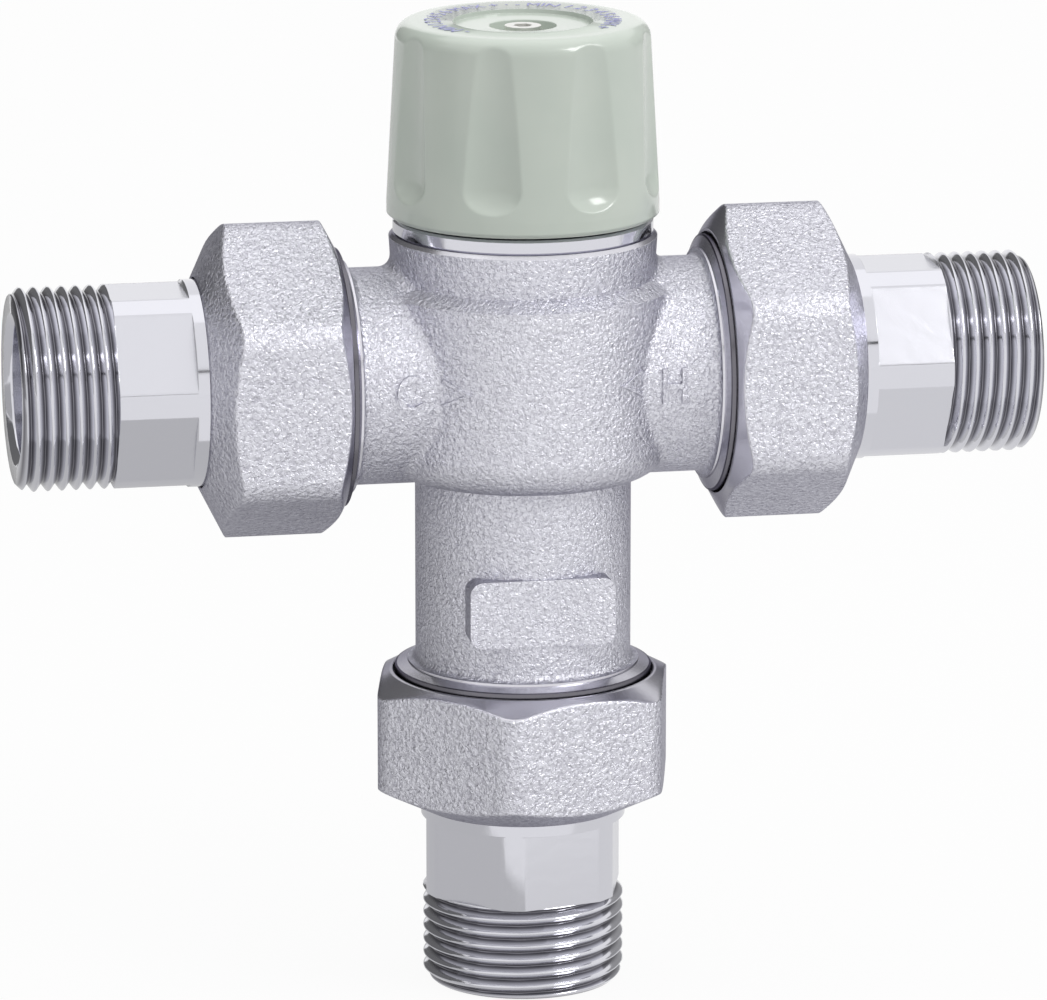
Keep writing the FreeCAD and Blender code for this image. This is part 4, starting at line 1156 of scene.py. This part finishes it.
@dataclass
class Knob:
    """The fluted adjusting knob with its recessed top.

    The skirt's radius is the tapered profile's, or the flute cutter's where that is smaller:
    a circle of radius cutter about a line beside the knob, met at an angle from the flute's
    middle. The cutter's lower end is rounded, so each flute starts as a U.
    """

    base: float
    height: float = 25.25 * MM
    base_radius: float = 17.62 * MM
    crown_radius: float = 16.35 * MM
    band: float = 2.0 * MM
    rounding: float = 2.2 * MM
    flutes: int = 8
    flute_turn: float = 21.3
    flute_depth: float = 1.5 * MM
    cutter: float = 8.8 * MM
    cutter_end: float = 4.0 * MM
    flute_low: float = 2.1 * MM
    flute_high: float = 22.5 * MM
    flute_depth_high: float = 0.45 * MM
    recess: float = 9.02 * MM
    recess_depth: float = 0.7 * MM
    pocket: float = 4.3 * MM
    pocket_depth: float = 1.5 * MM
    screw_hole: float = 1.6 * MM
    wall: float = 2.3 * MM
    roof: float = 3.4 * MM
    hub: float = 6.2 * MM
    hub_drop: float = 12.2 * MM
    soft_edge: float = 0.14 * MM
    skirt_start: float = 0.45 * MM
    flute_ends_high: float = 9.0 * MM
    crown_rows: int = 13
    columns: int = 704

    def skirt(self, z: Array) -> Array:
        """Radius of the plain skirt: even in the band and tapered above it.

        Args:
            z: heights over the base.

        Returns:
            The radius at each height.
        """
        span = self.height - self.band
        slope = (self.base_radius - self.crown_radius) / span
        return self.base_radius - slope * np.clip(z - self.band, 0.0, None)

    def fluted(self, z: Array, turn: Array, radius: Array) -> Array:
        """Radius of the skirt after the flutes are cut.

        Args:
            z: heights over the base, as one column.
            turn: angles, in radians, as one row.
            radius: the skirt's radius before, rows x columns.

        Returns:
            The radius, rows x columns.
        """
        low = self.skirt(np.array(self.flute_low)) - self.flute_depth
        high = self.skirt(np.array(self.flute_high)) - self.flute_depth_high
        lean = (high - low) / (self.flute_high - self.flute_low)
        rise = np.clip(z - self.flute_low, 0.0, None)
        hollow = np.clip(self.cutter_end - rise, 0.0, None)
        inset = self.cutter_end - np.sqrt(np.clip(self.cutter_end**2 - hollow**2, 0.0, None))
        reach = self.cutter - inset
        middle = low + lean * (z - self.flute_low) + self.cutter
        offset = from_nearest(turn, self.flutes, self.flute_turn)
        across = middle * np.sin(offset)
        inside = reach**2 - across**2
        cut = middle * np.cos(offset) - np.sqrt(np.clip(inside, 0.0, None))
        cut = np.where((inside > 0) & (z > self.flute_low), cut, FAR)
        return soft_min(radius, cut, self.soft_edge)

    def build(self, material: bpy.types.Material) -> bpy.types.Object:
        """Make the knob as one closed surface.

        Args:
            material: its finish.

        Returns:
            The knob.
        """
        turn = round_angles(self.columns)
        crown_start = self.height - self.rounding
        stops = [self.skirt_start, self.band, self.flute_ends_high, crown_start]
        z = spread(stops, [6, 46, 60])[:, None]
        quarter = np.linspace(0.0, math.pi / 2, self.crown_rows + 1)[1:, None]
        crown_z = crown_start + self.rounding * np.sin(quarter)
        crown_r = self.skirt(np.array(crown_start)) - self.rounding * (1 - np.cos(quarter))
        z = np.concatenate([z, crown_z])
        plain = np.concatenate([self.skirt(z[: -len(quarter)]), crown_r])
        outside = self.fluted(z, turn, np.broadcast_to(plain, (len(z), self.columns)))
        floor = self.height - self.recess_depth
        pit = floor - self.pocket_depth
        ceiling = self.height - self.roof
        hub_low = self.height - self.hub_drop
        inner_base = self.base_radius - self.wall
        inner_crown = self.crown_radius - self.wall
        rest = rounded_profile(
            [
                (self.height, self.recess, 0.22 * MM),
                (floor, self.recess - 0.05 * MM, 0.12 * MM),
                (floor, self.pocket, 0.18 * MM),
                (pit, self.pocket - 0.05 * MM, 0.12 * MM),
                (pit, self.screw_hole, 0.1 * MM),
                (hub_low, self.screw_hole, 0.1 * MM),
                (hub_low, self.hub, 0.2 * MM),
                (ceiling, self.hub, 0.3 * MM),
                (ceiling, inner_crown, 0.5 * MM),
                (0.0, inner_base, 0.2 * MM),
                (0.0, self.base_radius - 0.4 * MM, 0.25 * MM),
            ]
        )
        axis = upright_axis(self.base)
        piece = turned_piece("fluted_knob", axis, z, outside, rest, turn)
        piece.data.materials.append(material)
        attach(piece, "knob_unit")
        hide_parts("knob")
        return piece


# ---- marks -------------------------------------------------------------------------------


def letter_mesh(
    words: str, tall: float, thick: float, bold: float = 0.0
) -> tuple[Array, Faces]:
    """Plain letters as a closed mesh about their own middle.

    Args:
        words: the letters.
        tall: height of a capital, in metres.
        thick: thickness, in metres.
        bold: how far each outline is moved outwards, in metres.

    Returns:
        The vertices, x along the line and y up the letters, and the faces.
    """
    curve = bpy.data.curves.new("letters", "FONT")
    curve.body = words
    curve.align_x = "CENTER"
    curve.size = tall / CAPITAL
    curve.extrude = thick / 2
    curve.offset = bold
    curve.resolution_u = 6
    holder = bpy.data.objects.new("letters", curve)
    mesh = bpy.data.meshes.new_from_object(holder)
    places = np.empty(len(mesh.vertices) * 3)
    mesh.vertices.foreach_get("co", places)
    places = places.reshape(-1, 3)
    places[:, 1] -= tall / 2
    faces = [tuple(face.vertices) for face in mesh.polygons]
    bpy.data.objects.remove(holder)
    bpy.data.meshes.remove(mesh)
    bpy.data.curves.remove(curve)
    return places, faces


def loose_mesh(name: str, places: Array, faces: Faces) -> bpy.types.Object:
    """Put vertices and faces into a new object, with doubles merged.

    Args:
        name: the piece's name.
        places: the vertices, as points x 3.
        faces: the faces, as vertex numbers.

    Returns:
        The new object, at the origin, with its faces outwards.
    """
    mesh = bpy.data.meshes.new(name)
    mesh.from_pydata(places.tolist(), [], faces)
    build = bmesh.new()
    build.from_mesh(mesh)
    bmesh.ops.remove_doubles(build, verts=build.verts, dist=0.002 * MM)
    bmesh.ops.recalc_face_normals(build, faces=build.faces)
    build.to_mesh(mesh)
    build.free()
    return put_in_scene(name, mesh)


@dataclass
class DialPrint:
    """The ring of numbers printed round the knob's top.

    A letter's place (u, v) on the line is bent to the angle turn - u / radius and the radius
    radius + v, after the line is squeezed to fill the arc. The arc's middle is at the back.
    """

    top: float
    words: str
    radius: float = 11.7 * MM
    tall: float = 2.1 * MM
    film: float = 0.03 * MM
    turn: float = 90.0
    arc: float = 264.0

    def build(self, material: bpy.types.Material) -> bpy.types.Object:
        """Make the print as one thin film of ink.

        Args:
            material: its finish.

        Returns:
            The print.
        """
        places, faces = letter_mesh(self.words, self.tall, self.film)
        length = np.ptp(places[:, 0])
        squeeze = math.radians(self.arc) * self.radius / length
        angle = math.radians(self.turn) - places[:, 0] * squeeze / self.radius
        out = self.radius + places[:, 1]
        bent = np.stack(
            [out * np.cos(angle), out * np.sin(angle), self.top + places[:, 2] + self.film / 2],
            axis=1,
        )
        piece = loose_mesh("dial_print", bent, faces)
        piece.data.materials.append(material)
        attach(piece, "knob_unit")
        return piece


@dataclass
class CastMark:
    """A letter or an arrow cast proud of the body.

    The body's front near the mark is taken as the surface
    y = a + b x + c z + d x x + e x z + f z z, fitted to a few points probed on it, and the
    mark stands out from that surface by its relief.
    """

    name: str
    across: float
    rise: float
    reach: float
    relief: float = 0.3 * MM
    sink: float = 0.35 * MM
    edge: float = 0.09 * MM
    probes: int = 7
    probe_start: float = -0.1

    def terms(self, x: Array, z: Array) -> Array:
        """The six terms of the surface at x and z."""
        return np.stack([np.ones_like(x), x, z, x * x, x * z, z * z], axis=1)

    def fit(self) -> Array:
        """Probe a grid of points from the front and fit the surface to them.

        Returns:
            The surface's six factors.
        """
        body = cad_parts["valve_body"]
        steps = np.linspace(-self.reach, self.reach, self.probes)
        x, z = (part.ravel() for part in np.meshgrid(steps + self.across, steps + self.rise))
        tree = BVHTree.FromObject(body, bpy.context.evaluated_depsgraph_get())
        back = (0.0, 1.0, 0.0)
        hits = [tree.ray_cast((a, self.probe_start, c), back)[0] for a, c in zip(x, z)]
        y = np.array([hit[1] for hit in hits])
        return np.linalg.lstsq(self.terms(x - self.across, z - self.rise), y, rcond=None)[0]

    def build(
        self, places: Array, faces: Faces, material: bpy.types.Material
    ) -> bpy.types.Object:
        """Lay a flat closed mesh on the body's front.

        Args:
            places: its vertices as (x, y, side), where the side that faces out is above 0.
            faces: its faces.
            material: its finish.

        Returns:
            The mark.
        """
        factors = self.fit()
        y = self.terms(places[:, 0], places[:, 1]) @ factors
        proud = np.where(places[:, 2] > 0, -self.relief, self.sink)
        laid = np.stack([places[:, 0] + self.across, y + proud, places[:, 1] + self.rise], axis=1)
        piece = loose_mesh(self.name, laid, faces)
        piece.data.materials.append(material)
        bevel = piece.modifiers.new("soft_edges", "BEVEL")
        bevel.width = self.edge
        bevel.segments = 2
        bevel.limit_method = "ANGLE"
        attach(piece, "valve")
        return piece


def ridge_mesh(points: Sequence[tuple[float, float]], width: float) -> tuple[Array, Faces]:
    """A flat closed ribbon of one width along a few points, with mitred corners.

    Each point is moved half the width to both sides along the mean of its two edge normals.

    Args:
        points: the ribbon's middle line.
        width: its width, in metres.

    Returns:
        The vertices as (x, y, side) with side -1 or 1, and the faces.
    """
    line = np.array(points)
    along = np.diff(line, axis=0)
    along /= np.linalg.norm(along, axis=1)[:, None]
    side = np.stack([-along[:, 1], along[:, 0]], axis=1)
    mean = np.vstack([side[:1], side[:-1] + side[1:], side[-1:]])
    mean /= np.einsum("ij,ij->i", mean, np.vstack([side[:1], side]))[:, None]
    left = line + mean * width / 2
    right = line - mean * width / 2
    flat = np.vstack([left, right])
    low = np.column_stack([flat, np.full(len(flat), -1.0)])
    high = np.column_stack([flat, np.full(len(flat), 1.0)])
    count = len(line)
    rim = list(range(count)) + list(range(2 * count - 1, count - 1, -1))
    faces = [(k, k + 1, count + k + 1, count + k) for k in range(count - 1)]
    upper = [tuple(2 * count + v for v in face) for face in faces]
    walls = [(a, b, b + 2 * count, a + 2 * count) for a, b in zip(rim, rim[1:] + rim[:1])]
    return np.vstack([low, high]), faces + upper + walls


# ---- studio ------------------------------------------------------------------------------


def direction(azimuth: float, elevation: float) -> Array:
    """The unit vector towards an azimuth and an elevation.

    Args:
        azimuth: the angle from the front towards the hot side, in radians.
        elevation: the angle above the level, in radians.

    Returns:
        The vector.
    """
    level = math.cos(elevation)
    return np.array(
        [math.sin(azimuth) * level, -math.cos(azimuth) * level, math.sin(elevation)]
    )


@dataclass(frozen=True)
class Card:
    """A grey card near the valve that only polished surfaces see.

    Its direction and its size are in degrees, as seen from where the ports' axes meet. Azimuth
    0 is the front. Its distance from there, and its shift in x and y, are in metres.
    """

    name: str
    azimuth: float
    elevation: float
    width: float
    tall: float
    level: float
    distance: float = 1.2
    shift: tuple[float, float] = (0.0, 0.0)


CARDS = (
    Card("left_back_card", -136.0, 4.0, 72.0, 92.0, 0.16),
    Card("right_back_card", 130.0, -8.0, 56.0, 70.0, 0.36),
    Card("left_card", -84.0, -6.0, 28.0, 70.0, 0.5, 1.1),
    Card("left_floor_card", 0.0, -90.0, 160.0, 160.0, 0.62, 0.081, (-0.45, 0.395)),
    Card("right_floor_card", 0.0, -90.0, 160.0, 160.0, 0.84, 0.081, (0.47, 0.395)),
    Card("front_line", 30.0, 26.0, 90.0, 3.0, 0.06, 1.3),
    Card("roof_card", 180.0, 76.0, 60.0, 44.0, 1.25, 1.1),
)


@dataclass
class Studio:
    """A pale floor and surround, grey cards, one soft box and the camera."""

    height: float
    azimuth: float = -10.6
    elevation: float = 13.44
    distance: float = 0.976
    lens: float = 257.8
    target_side: float = 0.08 * MM
    target_drop: float = 17.42 * MM
    sensor: float = 36.0
    floor_half: float = 3.0
    floor_white: float = 0.93
    key_place: tuple[float, float, float] = (0.8, -0.7, 0.9)
    key_side: float = 0.5
    key_power: float = 6.0
    fill_side: float = 0.08
    fill_top: float = 2.05
    cards: tuple[Card, ...] = CARDS

    def camera(self) -> None:
        """Stand the camera in front, a little to the cold side and above."""
        side = math.radians(self.azimuth)
        rise = math.radians(self.elevation)
        target = np.array([self.target_side, 0.0, self.height - self.target_drop])
        data = bpy.data.cameras.new("camera")
        data.lens = self.lens
        data.sensor_width = self.sensor
        data.sensor_fit = "HORIZONTAL"
        data.clip_start = 0.05
        made = put_in_scene("camera", data)
        made.location = target + direction(side, rise) * self.distance
        made.rotation_euler = (math.pi / 2 - rise, 0.0, side)
        bpy.context.scene.camera = made

    def soft_box(self) -> None:
        """Hang one square area lamp that faces the point where the ports' axes meet."""
        data = bpy.data.lights.new("key", "AREA")
        data.shape = "RECTANGLE"
        data.size = self.key_side
        data.size_y = self.key_side
        data.energy = self.key_power
        made = put_in_scene("key", data)
        made.location = self.key_place
        aim = np.array([0.0, 0.0, self.height]) - np.array(self.key_place)
        made.rotation_euler = Vector(aim).to_track_quat("-Z", "Y").to_euler()

    def card(self, card: Card) -> None:
        """Stand one card so that it faces the valve.

        Args:
            card: what and where it is.
        """
        turn = math.radians(card.azimuth)
        out = direction(turn, math.radians(card.elevation))
        across = np.array([math.cos(turn), math.sin(turn), 0.0])
        up = np.cross(across, out)
        middle = np.array([*card.shift, self.height]) + out * card.distance
        half = card.distance * math.tan(math.radians(card.width / 2)) * across
        tall = card.distance * math.tan(math.radians(card.tall / 2)) * up
        low = middle - tall
        high = middle + tall
        corners = [low - half, low + half, high + half, high - half]
        mesh = bpy.data.meshes.new(card.name)
        mesh.from_pydata([tuple(corner) for corner in corners], [], [(0, 1, 2, 3)])
        made = put_in_scene(card.name, mesh)
        graph = Graph(card.name + "_grey")
        grey = (card.level, card.level, card.level, 1.0)
        glow = graph.add("ShaderNodeEmission", {"Color": grey})
        graph.show(glow.outputs[0])
        mesh.materials.append(graph.material)
        made.visible_camera = False
        made.visible_diffuse = False
        made.visible_shadow = False
        made.visible_transmission = False
        made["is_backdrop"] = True

    def floor(self) -> None:
        """A wide pale floor that shows white and keeps the valve's shadow."""
        low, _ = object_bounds()
        half = self.floor_half
        corners = [(-half, -half), (half, -half), (half, half), (-half, half)]
        mesh = bpy.data.meshes.new("floor")
        mesh.from_pydata([(x, y, low[2] - 0.02 * MM) for x, y in corners], [], [(0, 1, 2, 3)])
        made = put_in_scene("floor", mesh)
        graph = Graph("pale_floor")
        paper = graph.surface({"Base Color": linear("#CBCBCB"), "Roughness": 0.8})
        seen = graph.add(
            "ShaderNodeMath", {0: self.seen(graph), 1: self.floor_white}, operation="MULTIPLY"
        )
        white = graph.add("ShaderNodeEmission", {"Color": WHITE, "Strength": 1.0})
        mixed = graph.add(
            "ShaderNodeMixShader",
            {0: seen.outputs[0], 1: graph.shader.outputs[0], 2: white.outputs[0]},
        )
        graph.show(mixed.outputs[0])
        mesh.materials.append(paper)
        made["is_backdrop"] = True

    def seen(self, graph: Graph) -> bpy.types.NodeSocket:
        """A mask that is 1 for rays from the camera, off polish or through glass.

        Args:
            graph: the graph to add it to.

        Returns:
            The socket that carries the mask.
        """
        rays = graph.add("ShaderNodeLightPath")
        direct = graph.add(
            "ShaderNodeMath",
            {0: rays.outputs["Is Camera Ray"], 1: rays.outputs["Is Glossy Ray"]},
            operation="MAXIMUM",
        )
        both = graph.add(
            "ShaderNodeMath",
            {0: direct.outputs[0], 1: rays.outputs["Is Transmission Ray"]},
            operation="MAXIMUM",
        )
        return both.outputs[0]

    def world(self) -> None:
        """A plain surround: white where it is seen, and else brighter the higher it is."""
        world = bpy.data.worlds.new("studio")
        bpy.context.scene.world = world
        world.use_nodes = True
        graph = Graph.over(world.node_tree)
        place = graph.add("ShaderNodeTexCoord").outputs["Generated"]
        rise = graph.add("ShaderNodeSeparateXYZ", {"Vector": place}).outputs["Z"]
        level = graph.add(
            "ShaderNodeMapRange",
            {"Value": rise, "To Min": self.fill_side, "To Max": self.fill_top},
        )
        around = graph.add("ShaderNodeBackground", {"Strength": level.outputs[0]})
        white = graph.add("ShaderNodeBackground", {"Color": WHITE})
        mixed = graph.add(
            "ShaderNodeMixShader",
            {0: self.seen(graph), 1: around.outputs[0], 2: white.outputs[0]},
        )
        graph.add("ShaderNodeOutputWorld", {"Surface": mixed.outputs[0]})

    def build(self) -> None:
        """Set up camera, floor, surround, lamp and cards."""
        self.camera()
        self.floor()
        self.world()
        self.soft_box()
        for card in self.cards:
            self.card(card)
        bpy.context.scene.view_settings.view_transform = "Standard"


# ---- the whole valve ---------------------------------------------------------------------


# Turned skin of the casting, as distances from the valve's axis or the inlets' axis.
COLLAR_START = 23.3 * MM
LOW_COLLAR_DROP = 38.3 * MM
HEAD_RISE = 17.95 * MM
HEAD_END = 30.0 * MM
# Band of painted shade on the casting in the gap between a port's collar and the mouth of its
# nut.
GROOVE_START = 24.1 * MM
GROOVE_WIDTH = 2.3 * MM
LOW_GROOVE_DROP = 39.1 * MM

STEEL_NODES = (
    "element_pin",
    "overtravel_spring",
    "return_spring",
    "carrier_circlip",
    "guide_circlip",
    "hot_check_spring",
    "cold_check_spring",
    "hot_strainer",
    "cold_strainer",
)
BRASS_NODES = ("spindle", "carrier", "pusher", "wax_element")
BLACK_NODES = ("shuttle", "spring_guide")
ACETAL_NODES = (
    "hot_check_cage",
    "hot_check_poppet",
    "cold_check_cage",
    "cold_check_poppet",
)
RUBBER_NODES = (
    "hot_check_o_ring",
    "cold_check_o_ring",
    "bonnet_o_ring",
    "spindle_o_ring",
    "shuttle_o_ring",
)
FIBRE_NODES = ("hot_gasket", "cold_gasket", "outlet_gasket")


def cast_body(places: Frame) -> bpy.types.Material:
    """The casting's finish, with its turned skin and painted shade in the gaps behind the nuts.

    Args:
        places: the part's places.

    Returns:
        The material.
    """
    low_collar = places.height - LOW_COLLAR_DROP
    bands = (
        (0, COLLAR_START, places.inlet_end),
        (0, -places.inlet_end, -COLLAR_START),
        (2, 0.0, low_collar),
        (2, places.height + HEAD_RISE, places.height + HEAD_END),
    )
    # bands where the casting is coloured with painted shade, inside the nuts' mouths
    low_groove = places.height - LOW_GROOVE_DROP
    recess = (
        (0, GROOVE_START, GROOVE_START + GROOVE_WIDTH),
        (0, -GROOVE_START - GROOVE_WIDTH, -GROOVE_START),
        (2, low_groove - GROOVE_WIDTH, low_groove),
    )
    return CastChrome("sand_cast_chrome", bands=bands, recess=recess).build()


def dress_nodes(body: bpy.types.Material) -> None:
    """Give the part's own nodes their materials.

    Args:
        body: the casting's finish.
    """
    dress("valve_body", body)
    dress("bonnet", TurnedChrome("turned_chrome").build())
    dress("knob_screw", BareMetal("zinc_plated_steel", "#E9E9E6", 0.34).build())
    finishes = (
        (STEEL_NODES, BareMetal("stainless_steel", "#C9C8C5", 0.22)),
        (BRASS_NODES, BareMetal("turned_brass", "#D8B56A", 0.28)),
        (BLACK_NODES, MouldedPlastic("glass_filled_nylon", "#2A2A2C", "#1F1F21", 0.45)),
        (ACETAL_NODES, MouldedPlastic("white_acetal", "#E6E5DF", "#DAD9D2", 0.35)),
        (RUBBER_NODES, SoftSeal("nitrile_rubber", "#1B1B1C", 0.55)),
        (FIBRE_NODES, SoftSeal("pressed_fibre", "#4B4D50", 0.8, grain_mm=0.5)),
    )
    for nodes, finish in finishes:
        material = finish.build()
        for node in nodes:
            dress(node, material)


# The nuts' bodies, the angle of one corner and of one milled flat, in degrees.
NUT_BODY = {Port.HOT: "hot_nut", Port.COLD: "cold_nut", Port.OUTLET: "outlet_nut"}
NUT_CORNER = {Port.HOT: 31.0, Port.COLD: 27.6, Port.OUTLET: 13.5}
TAIL_FLATS = {Port.HOT: 30.0, Port.COLD: 30.0, Port.OUTLET: -14.4}

DIAL_WORDS = "- MIN 1 2 3 4 5 6 MAX + \u00b7 - MIN 1 2 3 4 5 6 MAX +"
LETTER_TALL = 4.6 * MM
LETTER_WIDTH = 3.2 * MM
LETTER_BOLD = 0.1 * MM
LETTER_RELIEF = 0.42 * MM
LETTER_REACH = 1.9 * MM
RIDGE_WIDTH = 0.45 * MM
ARROW_REACH = 2.0 * MM
# Each mark's place from the valve's axis and above the inlets' axis.
MARK_LETTERS = (("C", -17.3 * MM, 0.5 * MM), ("H", 17.2 * MM, 0.2 * MM))
# Each arrow's side, place, half length (negative points to the cold side) and half height.
MARK_ARROWS = (
    ("cold", -11.7 * MM, 0.45 * MM, 1.5 * MM, 1.7 * MM),
    ("hot", 11.6 * MM, 0.9 * MM, -1.3 * MM, 1.5 * MM),
)


def build_unions(places: Frame) -> None:
    """Build the three tails and their nuts.

    Args:
        places: the part's places.
    """
    turned = TurnedChrome("turned_chrome_tail").build()
    forged = CastChrome("sand_cast_chrome_nut", grain_mm=0.46, relief_mm=0.3).build()
    for port in Port:
        axis = places.port_axis(port)
        tail = Tail(axis, port, flat_turn=TAIL_FLATS[port])
        LOG.info("tail %s", tail.build(turned).name)
        nut = UnionNut(axis, port, NUT_BODY[port], NUT_CORNER[port])
        LOG.info("nut %s", nut.build(forged).name)


def build_knob() -> None:
    """Build the knob and the print on its top."""
    plastic = MouldedPlastic("grey_green_abs", "#BBC3BA", "#B6BFB6").build()
    knob_low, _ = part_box("knob")
    LOG.info("knob %s", Knob(knob_low[2]).build(plastic).name)
    ink = PadPrint("violet_pad_print").build()
    dial = DialPrint(knob_low[2] + Knob.height, DIAL_WORDS)
    LOG.info("print %s", dial.build(ink).name)


def build_marks(places: Frame, cast: bpy.types.Material) -> None:
    """Build the raised letters and arrows on the casting.

    Args:
        places: the part's places.
        cast: the casting's finish.
    """
    for letter, across, rise in MARK_LETTERS:
        name = "cast_letter_" + letter.lower()
        mark = CastMark(name, across, places.height + rise, LETTER_REACH, LETTER_RELIEF)
        shape, faces = letter_mesh(letter, LETTER_TALL, 2 * LETTER_TALL, LETTER_BOLD)
        shape[:, 0] *= LETTER_WIDTH / np.ptp(shape[:, 0])
        LOG.info("mark %s", mark.build(shape, faces, cast).name)
    for side, across, rise, half, tall in MARK_ARROWS:
        mark = CastMark("flow_arrow_" + side, across, places.height + rise, ARROW_REACH)
        shape, faces = ridge_mesh([(-half, tall), (half, 0.0), (-half, -tall)], RIDGE_WIDTH)
        LOG.info("mark %s", mark.build(shape, faces, cast).name)


def main() -> None:
    """Dress the nodes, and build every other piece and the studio."""
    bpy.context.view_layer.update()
    places = Frame.read()
    cast = cast_body(places)
    dress_nodes(cast)
    build_unions(places)
    build_knob()
    build_marks(places, cast)
    Studio(places.height).build()


if __name__ == "__main__":
    logging.basicConfig(level=logging.INFO)
    main()
